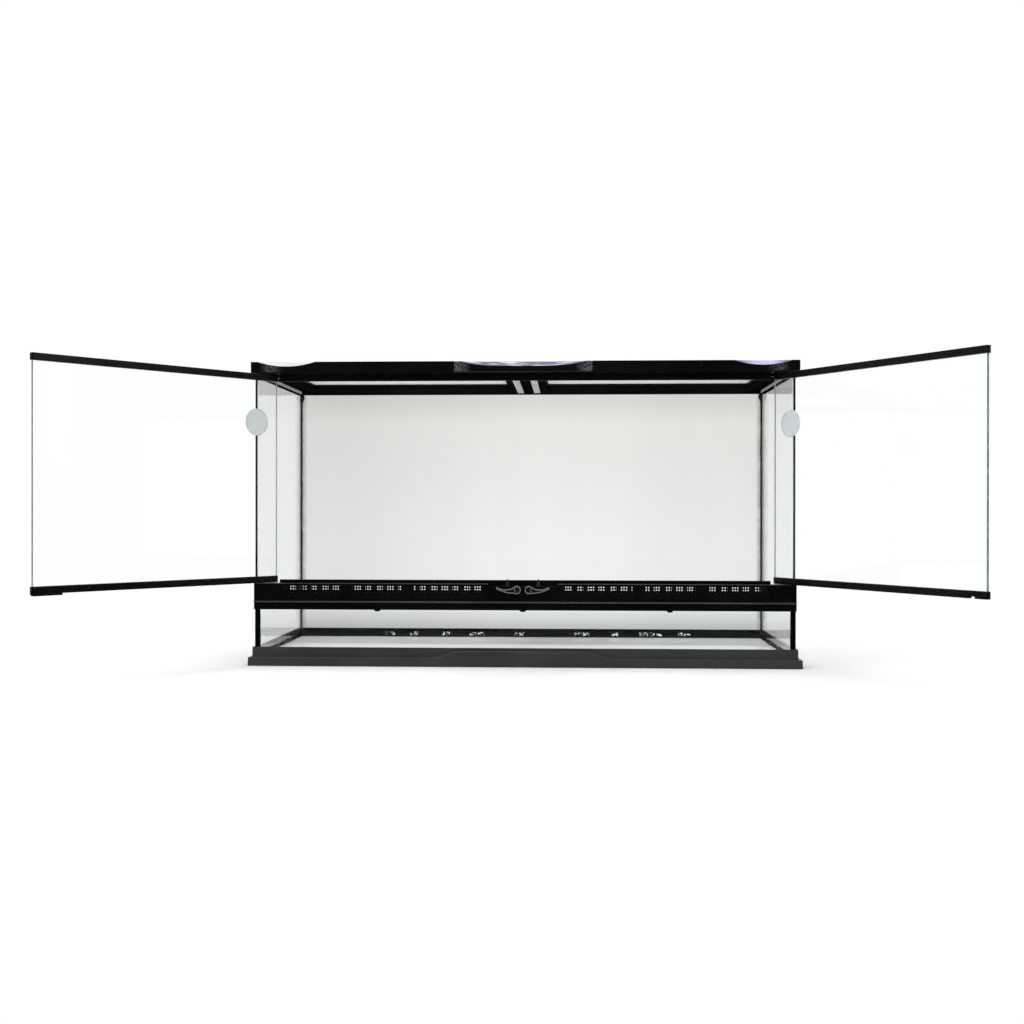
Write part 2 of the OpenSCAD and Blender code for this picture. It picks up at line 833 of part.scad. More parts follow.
module door_top_rail() {
    door_rail(rail_high_z - rail_h);
}

module door_bottom_rail() {
    door_rail(rail_low_z);
}

// Both hinge pins of a door, from the rails into the bushes
module hinge_pins() {
    color(STEEL) translate([pivot_x, door_y, 0]) {
        translate([0, 0, ledge_h - pin_reach]) cylinder(r = pin_r, h = glass_low_z - ledge_h + pin_reach);
        translate([0, 0, glass_high_z]) cylinder(r = pin_r, h = over_z + pin_reach - glass_high_z);
    }
}

// Round pad on the inner face of the pane, stuck on by hand, so not quite alike
module door_pad(inset, height) {
    color(PALE) translate([glass_far - inset, door_y + door_t / 2, height]) rotate([-90, 0, 0])
        cylinder(r = pad_r, h = pad_t);
}

// Block under the free end of the bottom rail, with a sloping front end
module door_catch() {
    x0 = door_gap / 2;
    slope = catch_h;
    color(PLASTIC) along_y(door_y - rail_t / 2, door_y + rail_t / 2)
        polygon([
            [x0 + slope, rail_low_z - catch_h],
            [x0, rail_low_z],
            [x0 + catch_l, rail_low_z],
            [x0 + catch_l, rail_low_z - catch_h]
        ]);
}

module left_door_pane() {
    swing_left() door_pane();
}

module left_door_top_rail() {
    swing_left() door_top_rail();
}

module left_door_bottom_rail() {
    swing_left() door_bottom_rail();
}

module left_hinge_pins() {
    swing_left() hinge_pins();
}

module left_door_catch() {
    swing_left() door_catch();
}

module left_door_pad() {
    swing_left() door_pad(left_pad_in, left_pad_z);
}

module right_door_pane() {
    swing_right() door_pane();
}

module right_door_top_rail() {
    swing_right() door_top_rail();
}

// The right-hand bottom rail has a notch near its free end
module right_door_bottom_rail() {
    swing_right() difference() {
        door_bottom_rail();
        box(notch_x - notch_w / 2, notch_x + notch_w / 2, door_y - rail_t, door_y + rail_t,
            rail_low_z - eps, glass_low_z - 1.2);
    }
}

module right_hinge_pins() {
    swing_right() hinge_pins();
}

module right_door_pad() {
    swing_right() door_pad(right_pad_in, right_pad_z);
}

// ------------------------------------------------------------- latches

// Half thickness of a lever's tail at t, from 0 at the hub to 1 at the tip
function tail_half(t) = head_r * (0.28 + 0.68 * pow(1 - t, 2.2));

// Height of a lever's tail at t: it sags, then lifts towards the tip
function tail_mid(t) = head_r * (-0.3 + 2 * pow(t - 0.42, 2));

// Outline of the tail, along its upper edge and back along the lower one
TAIL_OUTLINE = concat(
    [for (i = [2:20]) [lever_l * i / 20, tail_mid(i / 20) + tail_half(i / 20)]],
    [for (i = [20:-1:2]) [lever_l * i / 20, tail_mid(i / 20) - tail_half(i / 20)]]
);

// Lever on the strip's face, with the hub that runs through it
module right_latch_lever() {
    color(PLASTIC) translate([hub_x, 0, hub_z]) difference() {
        union() {
            along_y(lever_y - lever_t, lever_y) union() {
                circle(r = head_r);
                polygon(TAIL_OUTLINE);
            }
            translate([0, lever_y - bite, 0]) rotate([-90, 0, 0])
                cylinder(r = hub_r, h = hook_y - lever_y + bite);
        }
        translate([0, lever_y - lever_t - eps, 0]) rotate([-90, 0, 0])
            cylinder(r = head_r - head_rim, h = 0.6 + eps);
        translate([0, lever_y - bite, 0]) rotate([-90, 0, 0])
            cylinder(r = screw_r, h = hook_y - lever_y + bite + eps);
    }
}

module left_latch_lever() {
    mirror([1, 0, 0]) right_latch_lever();
}

// Arm behind the strip's face, with the hook that stands up through the ledge
module right_latch_hook() {
    reach = hook_x - hub_x;
    color(PLASTIC) translate([hub_x, 0, hub_z]) difference() {
        along_y(hook_y, hook_y + hook_t) union() {
            circle(r = hub_r + 1.5);
            polygon([
                [0, hook_low],
                [reach + hook_w / 2, hook_low],
                [reach + hook_w / 2, hook_high],
                [reach + 1, hook_top],
                [reach - 1, hook_top],
                [reach - hook_w / 2, hook_high],
                [0, hook_high]
            ]);
        }
        translate([0, hook_y - eps, 0]) rotate([-90, 0, 0])
            cylinder(r = screw_r, h = hook_t + 2 * eps);
    }
}

module left_latch_hook() {
    mirror([1, 0, 0]) right_latch_hook();
}

// Screw that joins the hook to the lever's hub, with its head at the back
module right_latch_screw() {
    head_h = 1.2;
    color(STEEL) translate([hub_x, lever_y - bite, hub_z]) rotate([-90, 0, 0]) {
        cylinder(r = screw_r, h = hook_y + hook_t - lever_y + bite);
        translate([0, 0, hook_y + hook_t - lever_y + bite]) difference() {
            cylinder(r = 2 * screw_r, h = head_h);
            translate([-screw_r * 1.5, -0.3, head_h / 2]) cube([screw_r * 3, 0.6, head_h]);
        }
    }
}

module left_latch_screw() {
    mirror([1, 0, 0]) right_latch_screw();
}

base_frame();
floor_pane();
back_pane();
left_pane();
right_pane();
lower_front_pane();
corner_seams();
floor_seam();
vent_strip();
left_grille();
right_grille();
strip_clips();
top_frame();
crossbar();
crossbar_strips();
upper_hinge_bushes();
lower_hinge_bushes();
left_door_pane();
left_door_top_rail();
left_door_bottom_rail();
left_hinge_pins();
left_door_catch();
left_door_pad();
right_door_pane();
right_door_top_rail();
right_door_bottom_rail();
right_hinge_pins();
right_door_pad();
left_latch_lever();
left_latch_hook();
left_latch_screw();
right_latch_lever();
right_latch_hook();
right_latch_screw();
left_screen_frame();
left_screen_mesh();
right_screen_frame();
right_screen_mesh();
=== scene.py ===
"""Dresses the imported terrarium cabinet: a front-opening glass cabinet with two swing doors.

Every surface is worked out in millimetres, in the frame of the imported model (X to the right,
-Y out of the front, Z up, origin under the middle of the base), and scaled once when it
becomes a mesh.  Each sub-assembly is a class that holds its sizes, builds its pieces and
dresses them; each finish is a frozen dataclass that makes one material.
"""

from __future__ import annotations

import logging
import math
from dataclasses import dataclass, field, replace
from enum import Enum
from typing import Any, Sequence

import bpy
import numpy as np
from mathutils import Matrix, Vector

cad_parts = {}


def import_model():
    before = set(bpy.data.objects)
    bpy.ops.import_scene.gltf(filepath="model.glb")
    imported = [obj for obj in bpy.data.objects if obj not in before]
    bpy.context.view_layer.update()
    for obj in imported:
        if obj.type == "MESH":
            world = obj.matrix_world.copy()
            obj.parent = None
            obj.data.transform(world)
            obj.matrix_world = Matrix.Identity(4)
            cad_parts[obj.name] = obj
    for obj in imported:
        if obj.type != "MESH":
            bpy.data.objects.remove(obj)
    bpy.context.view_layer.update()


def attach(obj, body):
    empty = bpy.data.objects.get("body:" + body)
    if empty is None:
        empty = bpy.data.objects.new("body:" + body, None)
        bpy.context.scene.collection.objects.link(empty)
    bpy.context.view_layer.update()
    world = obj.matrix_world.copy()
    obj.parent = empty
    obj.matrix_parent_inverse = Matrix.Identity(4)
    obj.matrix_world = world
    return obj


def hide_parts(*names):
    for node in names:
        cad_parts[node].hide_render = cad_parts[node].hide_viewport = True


LOG = logging.getLogger("terrarium")
MM = 0.001
TINY = 0.002
MARK = "mark"

Array = np.ndarray
Colour = tuple[float, float, float]


# ------------------------------------------------------------------ surfaces


@dataclass
class Surface:
    """Points in millimetres with the quads and flat end caps that join them.

    Each face has the number of its finish. Each point has a mark from 0 to 1, which says how
    far a finish that reads it takes its second tone there.
    """

    points: Array
    quads: Array
    caps: list[Array] = field(default_factory=list)
    quad_slots: Array | None = None
    cap_slots: list[int] = field(default_factory=list)
    marks: Array | None = None

    def __post_init__(self) -> None:
        """Gives finish 0 and mark 0 to whatever has none."""
        if self.quad_slots is None:
            self.quad_slots = np.zeros(len(self.quads), int)
        if len(self.cap_slots) != len(self.caps):
            self.cap_slots = [0] * len(self.caps)
        if self.marks is None:
            self.marks = np.zeros(len(self.points))

    def volume(self) -> float:
        """Signed volume: a sixth of the sum of the corner products of the fan triangles."""
        p = self.points - self.points.mean(0)
        q = self.quads
        total = np.einsum("ij,ij->", p[q[:, 0]], np.cross(p[q[:, 1]], p[q[:, 2]]))
        total += np.einsum("ij,ij->", p[q[:, 0]], np.cross(p[q[:, 2]], p[q[:, 3]]))
        for cap in self.caps:
            first = np.broadcast_to(p[cap[0]], (len(cap) - 2, 3))
            total += np.einsum("ij,ij->", first, np.cross(p[cap[1:-1]], p[cap[2:]]))
        return float(total) / 6.0

    def flipped(self) -> Surface:
        """The same surface with every face turned round."""
        return replace(self, quads=self.quads[:, ::-1], caps=[cap[::-1] for cap in self.caps])

    def outward(self) -> Surface:
        """The same closed surface with its faces pointing outwards."""
        return self.flipped() if self.volume() < 0 else self

    def mirrored(self) -> Surface:
        """The mirror image across the cabinet's middle."""
        return replace(self.flipped(), points=self.points * np.array([-1.0, 1.0, 1.0]))

    def moved(self, x: float = 0.0, y: float = 0.0, z: float = 0.0) -> Surface:
        """The same surface, moved by x, y and z."""
        return replace(self, points=self.points + np.array([x, y, z]))

    def turned(self, x: float, y: float, degrees: float) -> Surface:
        """The same surface, turned about the upright axis through x and y.

        Args:
            x: Place of the axis across the cabinet.
            y: Place of the axis from front to back.
            degrees: Turn, counter-clockwise seen from above.

        Returns:
            The turned surface.
        """
        c, s = math.cos(math.radians(degrees)), math.sin(math.radians(degrees))
        axis = np.array([x, y, 0.0])
        spin = np.array([[c, s, 0.0], [-s, c, 0.0], [0.0, 0.0, 1.0]])
        return replace(self, points=(self.points - axis) @ spin + axis)


def joined(parts: Sequence[Surface]) -> Surface:
    """Puts several surfaces into one.

    Args:
        parts: The surfaces.

    Returns:
        One surface that holds them all.
    """
    starts = np.cumsum([0] + [len(p.points) for p in parts[:-1]])
    return Surface(
        np.concatenate([p.points for p in parts]),
        np.concatenate([p.quads + s for p, s in zip(parts, starts)]),
        [cap + s for p, s in zip(parts, starts) for cap in p.caps],
        np.concatenate([p.quad_slots for p in parts]),
        [slot for p in parts for slot in p.cap_slots],
        np.concatenate([p.marks for p in parts]),
    )


class Axis(Enum):
    """The direction in which an outline is carried, as columns of local u, v and w."""

    X = ((0, 1, 0), (0, 0, 1), (1, 0, 0))
    Y = ((1, 0, 0), (0, 0, 1), (0, -1, 0))
    Z = ((1, 0, 0), (0, 1, 0), (0, 0, 1))


def rounded(corners: Array, radius: float, steps: int = 3) -> Array:
    """Rounds the corners of closed outlines.

    Each corner C with neighbours A and B becomes the curve C + (1-s)^2 (A'-C) + s^2 (B'-C),
    where A' and B' lie on the two sides at the distance where a circle of that radius would
    touch them, and never past the middle of a side.

    Args:
        corners: Outlines as an array (..., corners, 2).
        radius: Radius in millimetres.
        steps: Segments in each rounded corner.

    Returns:
        The rounded outlines as an array (..., corners * (steps + 1), 2).
    """
    back = np.roll(corners, 1, axis=-2) - corners
    ahead = np.roll(corners, -1, axis=-2) - corners
    back_len = np.maximum(np.linalg.norm(back, axis=-1, keepdims=True), 1e-9)
    ahead_len = np.maximum(np.linalg.norm(ahead, axis=-1, keepdims=True), 1e-9)
    back, ahead = back / back_len, ahead / ahead_len
    cosine = np.clip((back * ahead).sum(-1, keepdims=True), -0.9999, 0.9999)
    reach = radius / np.tan(np.arccos(cosine) / 2)
    reach = np.minimum(reach, 0.48 * np.minimum(back_len, ahead_len))[..., None, :]
    s = np.linspace(0.0, 1.0, steps + 1)[:, None]
    curve = back[..., None, :] * reach * (1 - s) ** 2 + ahead[..., None, :] * reach * s**2
    points = corners[..., None, :] + curve
    return points.reshape(*corners.shape[:-2], -1, 2)


def inset(outline: Array, distance: float) -> Array:
    """Moves a counter-clockwise outline inwards.

    Each point moves along the sum of the two neighbouring sides' inward normals, divided by
    one plus their product, so that both sides move by the same distance.

    Args:
        outline: Closed outline as an array (points, 2).
        distance: Distance in millimetres.

    Returns:
        The moved outline.
    """
    side = np.roll(outline, -1, axis=0) - outline
    side /= np.maximum(np.linalg.norm(side, axis=1, keepdims=True), 1e-9)
    normal = np.stack([-side[:, 1], side[:, 0]], axis=1)
    before = np.roll(normal, 1, axis=0)
    share = 1.0 + (normal * before).sum(1, keepdims=True)
    return outline + distance * (normal + before) / np.maximum(share, 0.3)


def ring_quads(rings: int, around: int, closed: bool) -> Array:
    """Quads between neighbouring rings of points.

    Args:
        rings: Number of rings.
        around: Number of points in each ring.
        closed: True if the last ring joins the first.

    Returns:
        Point numbers as an array (quads, 4).
    """
    i = np.arange(rings if closed else rings - 1)[:, None]
    j = np.arange(around)[None, :]
    here, there = i * around, ((i + 1) % rings) * around
    ahead = (j + 1) % around
    return np.stack([here + j, here + ahead, there + ahead, there + j], axis=-1).reshape(-1, 4)


def skinned(rings: Array, closed: bool = False) -> Surface:
    """Skins a stack of rings and closes its ends with flat caps.

    Args:
        rings: Points as an array (rings, points, 3).
        closed: True if the stack runs round into itself, without ends.

    Returns:
        A closed surface that faces outwards.
    """
    count, around = rings.shape[:2]
    quads = ring_quads(count, around, closed)
    ends = [np.arange(around)[::-1], np.arange(around) + (count - 1) * around]
    return Surface(rings.reshape(-1, 3), quads, [] if closed else ends).outward()


def carried(outlines: Array, stations: Array, axis: Axis) -> Array:
    """Carries outlines along an axis.

    Args:
        outlines: One outline for each station, (stations, points, 2), or a single one.
        stations: Distance of each outline along the axis.
        axis: Direction in which they are carried.

    Returns:
        Rings of points as an array (stations, points, 3).
    """
    stations = np.asarray(stations, float)
    if outlines.ndim == 2:
        outlines = np.broadcast_to(outlines, (len(stations), *outlines.shape))
    w = np.broadcast_to(stations[:, None, None], (*outlines.shape[:2], 1))
    return np.concatenate([outlines, w], axis=2) @ np.array(axis.value, float)


def prism(outline: Array, start: float, end: float, axis: Axis, edge: float = 0.5) -> Surface:
    """A bar of constant outline whose two ends are rounded over.

    Near each end the outline draws in by r (1 - sin a) at the distance r (1 - cos a) from
    that end, as a runs from 0 to a right angle.

    Args:
        outline: Counter-clockwise outline (points, 2).
        start: Where the bar starts along the axis.
        end: Where it ends.
        axis: Direction of the bar.
        edge: Radius r of the rounding at the ends.

    Returns:
        The closed surface.
    """
    a = np.linspace(0.0, math.pi / 2, 4)
    draw, along = edge * (1 - np.sin(a)), edge * (1 - np.cos(a))
    first = [inset(outline, d) for d in draw]
    rings = np.array(first + first[::-1])
    if axis is Axis.Y:
        start, end = -end, -start
    stations = np.concatenate([start + along, end - along[::-1]])
    return skinned(carried(rings, stations, axis))


def box_outline(u0: float, u1: float, v0: float, v1: float, radius: float = 0.5) -> Array:
    """Counter-clockwise rectangle with rounded corners."""
    return rounded(np.array([[u0, v0], [u1, v0], [u1, v1], [u0, v1]], float), radius)


def slab(
    low: Sequence[float], high: Sequence[float], thin: Axis, corner: float = 1.5, arris: float = 0.4
) -> Surface:
    """A pane with small arrises: finish 0 on its faces, finish 1 round its edges.

    Args:
        low: Lowest corner.
        high: Highest corner.
        thin: Axis across the pane.
        corner: Radius of the pane's corners.
        arris: Width of the ground arris.

    Returns:
        The closed surface.
    """
    u, v = {Axis.X: (1, 2), Axis.Y: (0, 2), Axis.Z: (0, 1)}[thin]
    w = 3 - u - v
    outline = box_outline(low[u], high[u], low[v], high[v], corner)
    pane = prism(outline, low[w], high[w], thin, arris)
    pane.quad_slots = np.ones(len(pane.quads), int)
    return pane


def revolved(profile: Array, segments: int = 48) -> Surface:
    """Turns a profile about the local axis, point = (r cos t, r sin t, h).

    Args:
        profile: Radius and height from one pole to the other, (points, 2); radius 0 at both.
        segments: Number of steps round the axis.

    Returns:
        The closed surface, poles closed by small caps.
    """
    t = np.linspace(0.0, 2 * math.pi, segments, endpoint=False)
    r = np.maximum(profile[:, 0], TINY)[:, None]
    h = np.broadcast_to(profile[:, 1][:, None], (len(profile), segments))
    return skinned(np.stack([r * np.cos(t), r * np.sin(t), h], axis=-1))


def pointed(surface: Surface, axis: Axis, place: Sequence[float]) -> Surface:
    """Lays a surface's local z along an axis and moves it into place.

    Args:
        surface: Surface drawn about its own z axis.
        axis: Direction that its z is to have.
        place: Where its origin goes.

    Returns:
        The surface in place.
    """
    points = surface.points @ np.array(axis.value, float) + np.array(place, float)
    return replace(surface, points=points).outward()


def ripple(x: Array, seed: int, waves: Sequence[tuple[float, float]]) -> Array:
    """A repeatable uneven line: the sum of sines of given lengths and heights.

    Args:
        x: Distance along the line.
        seed: Chooses the phases.
        waves: Wave length and height of each sine.

    Returns:
        The height at each x.
    """
    phases = np.random.default_rng(seed).uniform(0, 2 * math.pi, len(waves))
    parts = [h * np.sin(2 * math.pi * x / w + p) for (w, h), p in zip(waves, phases)]
    return np.sum(parts, axis=0)


# ------------------------------------------------------------------ shader graphs


class Graph:
    """Adds and links shader nodes in one tree."""

    def __init__(self, tree: bpy.types.NodeTree) -> None:
        """Starts with an empty tree."""
        self.tree = tree
        tree.nodes.clear()

    def add(self, kind: str, settings: dict[str, Any] | None = None, **inputs: Any) -> Any:
        """Adds a node.

        Args:
            kind: Blender's node type.
            settings: Properties of the node.
            **inputs: Values or sockets for its inputs, named with _ for a space.

        Returns:
            The new node.
        """
        node = self.tree.nodes.new(kind)
        for name, value in (settings or {}).items():
            setattr(node, name, value)
        for name, value in inputs.items():
            self.feed(node, name.replace("_", " "), value)
        return node

    def feed(self, node: Any, name: str | int, value: Any) -> None:
        """Sets an input to a value, or links a socket to it."""
        socket = node.inputs[name]
        if isinstance(value, bpy.types.NodeSocket):
            self.tree.links.new(value, socket)
        elif isinstance(value, tuple) and socket.type == "RGBA" and len(value) == 3:
            socket.default_value = (*value, 1.0)
        else:
            socket.default_value = value

    def maths(self, operation: str, *values: Any, clamp: bool = False) -> Any:
        """A Math node's result.

        Args:
            operation: Name of the operation.
            *values: Its inputs in order.
            clamp: True to keep the result from 0 to 1.

        Returns:
            The output socket.
        """
        node = self.add("ShaderNodeMath", {"operation": operation, "use_clamp": clamp})
        for i, value in enumerate(values):
            self.feed(node, i, value)
        return node.outputs[0]

    def span(self, value: Any, low: float, high: float, to_low: float, to_high: float) -> Any:
        """Maps a value smoothly from one range to another.

        Args:
            value: Socket that is read.
            low: Start of its range.
            high: End of its range.
            to_low: Result at the start.
            to_high: Result at the end.

        Returns:
            The output socket.
        """
        node = self.add("ShaderNodeMapRange", {"interpolation_type": "SMOOTHSTEP"}, Value=value)
        for name, number in zip(
            ("From Min", "From Max", "To Min", "To Max"), (low, high, to_low, to_high)
        ):
            node.inputs[name].default_value = number
        return node.outputs["Result"]

    def blend(self, share: Any, first: Any, second: Any) -> Any:
        """Mixes two colours.

        Args:
            share: Share of the second colour.
            first: First colour or socket.
            second: Second colour or socket.

        Returns:
            The output socket.
        """
        node = self.add("ShaderNodeMix", {"data_type": "RGBA"})
        self.feed(node, 0, share)
        self.feed(node, 6, first)
        self.feed(node, 7, second)
        return node.outputs[2]


class Effects:
    """Node groups that several finishes share, each built once."""

    _made: dict[str, bpy.types.NodeTree] = {}

    @classmethod
    def _group(
        cls, name: str, inputs: Sequence[tuple[str, str, float]], output: str
    ) -> tuple[bpy.types.NodeTree, Graph, Any, Any]:
        """Starts a group with named inputs and one float output.

        Args:
            name: Name of the group.
            inputs: Name, socket type and default of each input.
            output: Name of the output.

        Returns:
            The tree, its graph, its input node and its output node.
        """
        tree = bpy.data.node_groups.new(name, "ShaderNodeTree")
        graph = Graph(tree)
        for label, kind, default in inputs:
            socket = tree.interface.new_socket(label, in_out="INPUT", socket_type=kind)
            if kind == "NodeSocketFloat":
                socket.default_value = default
        tree.interface.new_socket(output, in_out="OUTPUT", socket_type="NodeSocketFloat")
        start = graph.add("NodeGroupInput")
        end = graph.add("NodeGroupOutput")
        cls._made[name] = tree
        return tree, graph, start, end

    @classmethod
    def grain(cls) -> bpy.types.NodeTree:
        """Height of a fine moulded grain: two noises, the second four times finer."""
        name = "moulded_grain"
        if name in cls._made:
            return cls._made[name]
        tree, graph, start, end = cls._group(
            name,
            [("Vector", "NodeSocketVector", 0.0), ("Scale", "NodeSocketFloat", 600.0)],
            "Height",
        )
        scale = start.outputs["Scale"]
        coarse = graph.add("ShaderNodeTexNoise", Vector=start.outputs["Vector"], Scale=scale)
        fine = graph.add(
            "ShaderNodeTexNoise",
            Vector=start.outputs["Vector"],
            Scale=graph.maths("MULTIPLY", scale, 4.0),
        )
        height = graph.maths("MULTIPLY_ADD", fine.outputs["Fac"], 0.4, coarse.outputs["Fac"])
        graph.feed(end, "Height", height)
        return tree

    @classmethod
    def smudges(cls) -> bpy.types.NodeTree:
        """Roughness of a handled surface: soft clouds and fine hair scratches."""
        name = "handling_smudges"
        if name in cls._made:
            return cls._made[name]
        tree, graph, start, end = cls._group(
            name,
            [
                ("Vector", "NodeSocketVector", 0.0),
                ("Scale", "NodeSocketFloat", 14.0),
                ("Low", "NodeSocketFloat", 0.3),
                ("High", "NodeSocketFloat", 0.45),
            ],
            "Roughness",
        )
        vector = start.outputs["Vector"]
        cloud = graph.add("ShaderNodeTexNoise", Vector=vector, Scale=start.outputs["Scale"])
        cloud.inputs["Detail"].default_value = 4.0
        stretch = graph.add("ShaderNodeMapping", Vector=vector)
        stretch.inputs["Scale"].default_value = (9.0, 40.0, 900.0)
        stretch.inputs["Rotation"].default_value = (0.1, 0.35, 0.2)
        hair = graph.add("ShaderNodeTexNoise", Vector=stretch.outputs[0], Scale=1.0)
        scratch = graph.span(hair.outputs["Fac"], 0.62, 0.72, 0.0, 0.35)
        soft = graph.span(cloud.outputs["Fac"], 0.3, 0.7, 0.0, 1.0)
        share = graph.maths("ADD", soft, scratch, clamp=True)
        node = graph.add("ShaderNodeMapRange", Value=share)
        graph.feed(node, "To Min", start.outputs["Low"])
        graph.feed(node, "To Max", start.outputs["High"])
        graph.feed(end, "Roughness", node.outputs["Result"])
        return tree

    @classmethod
    def dust(cls) -> bpy.types.NodeTree:
        """Mask of settled dust: sparse specks, and a thin film on what faces upwards."""
        name = "settled_dust"
        if name in cls._made:
            return cls._made[name]
        tree, graph, start, end = cls._group(
            name,
            [
                ("Vector", "NodeSocketVector", 0.0),
                ("Specks", "NodeSocketFloat", 0.5),
                ("Film", "NodeSocketFloat", 0.1),
            ],
            "Mask",
        )
        vector = start.outputs["Vector"]
        cells = graph.add("ShaderNodeTexVoronoi", Vector=vector, Scale=160.0)
        near = graph.span(cells.outputs["Distance"], 0.03, 0.075, 1.0, 0.0)
        pick = graph.add("ShaderNodeSeparateColor", Color=cells.outputs["Color"])
        few = graph.maths("GREATER_THAN", pick.outputs[0], 0.93)
        specks = graph.maths("MULTIPLY", graph.maths("MULTIPLY", near, few), start.outputs["Specks"])
        normal = graph.add("ShaderNodeNewGeometry").outputs["Normal"]
        up = graph.add("ShaderNodeSeparateXYZ", Vector=normal).outputs["Z"]
        cloud = graph.add("ShaderNodeTexNoise", Vector=vector, Scale=22.0)
        cloud.inputs["Detail"].default_value = 5.0
        film = graph.maths(
            "MULTIPLY", graph.span(up, 0.4, 1.0, 0.0, 1.0), start.outputs["Film"]
        )
        film = graph.maths(
            "MULTIPLY", film, graph.span(cloud.outputs["Fac"], 0.25, 0.75, 0.4, 1.0)
        )
        graph.feed(end, "Mask", graph.maths("ADD", specks, film, clamp=True))
        return tree


@dataclass
class Recipe:
    """A new material with its graph, its Principled shader, its output and its coordinates."""

    material: bpy.types.Material
    graph: Graph
    shader: Any
    output: Any
    place: Any

    @classmethod
    def start(cls, name: str) -> Recipe:
        """Starts a material under that name."""
        material = bpy.data.materials.new(name)
        material.use_nodes = True
        graph = Graph(material.node_tree)
        shader = graph.add("ShaderNodeBsdfPrincipled")
        output = graph.add("ShaderNodeOutputMaterial")
        graph.feed(output, "Surface", shader.outputs[0])
        place = graph.add("ShaderNodeTexCoord").outputs["Object"]
        return cls(material, graph, shader, output, place)

    def keep(self, **values: Any) -> None:
        """Sets the shader's own sockets, named with _ for a space."""
        for name, value in values.items():
            self.shader.inputs[name.replace("_", " ")].default_value = value

    def bump(self, height: Any, distance: float, strength: float = 1.0) -> None:
        """Bumps the surface.

        Args:
            height: Socket with the height from 0 to 1.
            distance: What a height of 1 stands for, in metres.
            strength: Share of the bump.
        """
        bump = self.graph.add("ShaderNodeBump", Height=height)
        bump.inputs["Distance"].default_value = distance
        bump.inputs["Strength"].default_value = strength
        self.graph.feed(self.shader, "Normal", bump.outputs[0])

    def mark(self) -> Any:
        """The mark that each point of the mesh has."""
        node = self.graph.add("ShaderNodeAttribute", {"attribute_name": MARK})
        return node.outputs["Fac"]


class Finish:
    """A finish makes its material once and hands out the same one afterwards."""

    _made: dict[Any, bpy.types.Material] = {}

    def material(self) -> bpy.types.Material:
        """The material of this finish."""
        if self not in Finish._made:
            Finish._made[self] = self._make()
        return Finish._made[self]

    def _make(self) -> bpy.types.Material:
        """Makes the material."""
        raise NotImplementedError


@dataclass(frozen=True)
class MouldedPlastic(Finish):
    """Injection-moulded plastic with grain, handling marks, a little dust and a painted highlight on marked points.
    """

    name: str
    colour: Colour
    low_rough: float = 0.24
    high_rough: float = 0.36
    specular: float = 0.35
    grain: float = 500.0
    depth: float = 0.00002
    specks: float = 0.5
    film: float = 0.03
    mark_highlight: Colour | None = None

    def _make(self) -> bpy.types.Material:
        """Base colour from dust and a painted highlight on marked points, roughness from smudges, bump from the
        grain.
        """
        recipe = Recipe.start(self.name)
        graph, place = recipe.graph, recipe.place
        tone = graph.add("ShaderNodeTexNoise", Vector=place, Scale=9.0)
        lighter = tuple(c * 1.35 + 0.0006 for c in self.colour)
        base = graph.blend(graph.span(tone.outputs["Fac"], 0.3, 0.7, 0, 1), self.colour, lighter)
        # painted highlight: marked points take a lighter grey that stands in for light caught on rims
        if self.mark_highlight:
            base = graph.blend(recipe.mark(), base, self.mark_highlight)
        dust = graph.add("ShaderNodeGroup", {"node_tree": Effects.dust()}, Vector=place)
        dust.inputs["Specks"].default_value = self.specks
        dust.inputs["Film"].default_value = self.film
        base = graph.blend(dust.outputs["Mask"], base, (0.42, 0.42, 0.41))
        graph.feed(recipe.shader, "Base Color", base)
        smudges = graph.add("ShaderNodeGroup", {"node_tree": Effects.smudges()}, Vector=place)
        smudges.inputs["Low"].default_value = self.low_rough
        smudges.inputs["High"].default_value = self.high_rough
        graph.feed(recipe.shader, "Roughness", smudges.outputs["Roughness"])
        grain = graph.add("ShaderNodeGroup", {"node_tree": Effects.grain()}, Vector=place)
        grain.inputs["Scale"].default_value = self.grain
        recipe.bump(grain.outputs["Height"], self.depth, 0.6)
        recipe.keep(Specular_IOR_Level=self.specular)
        return recipe.material


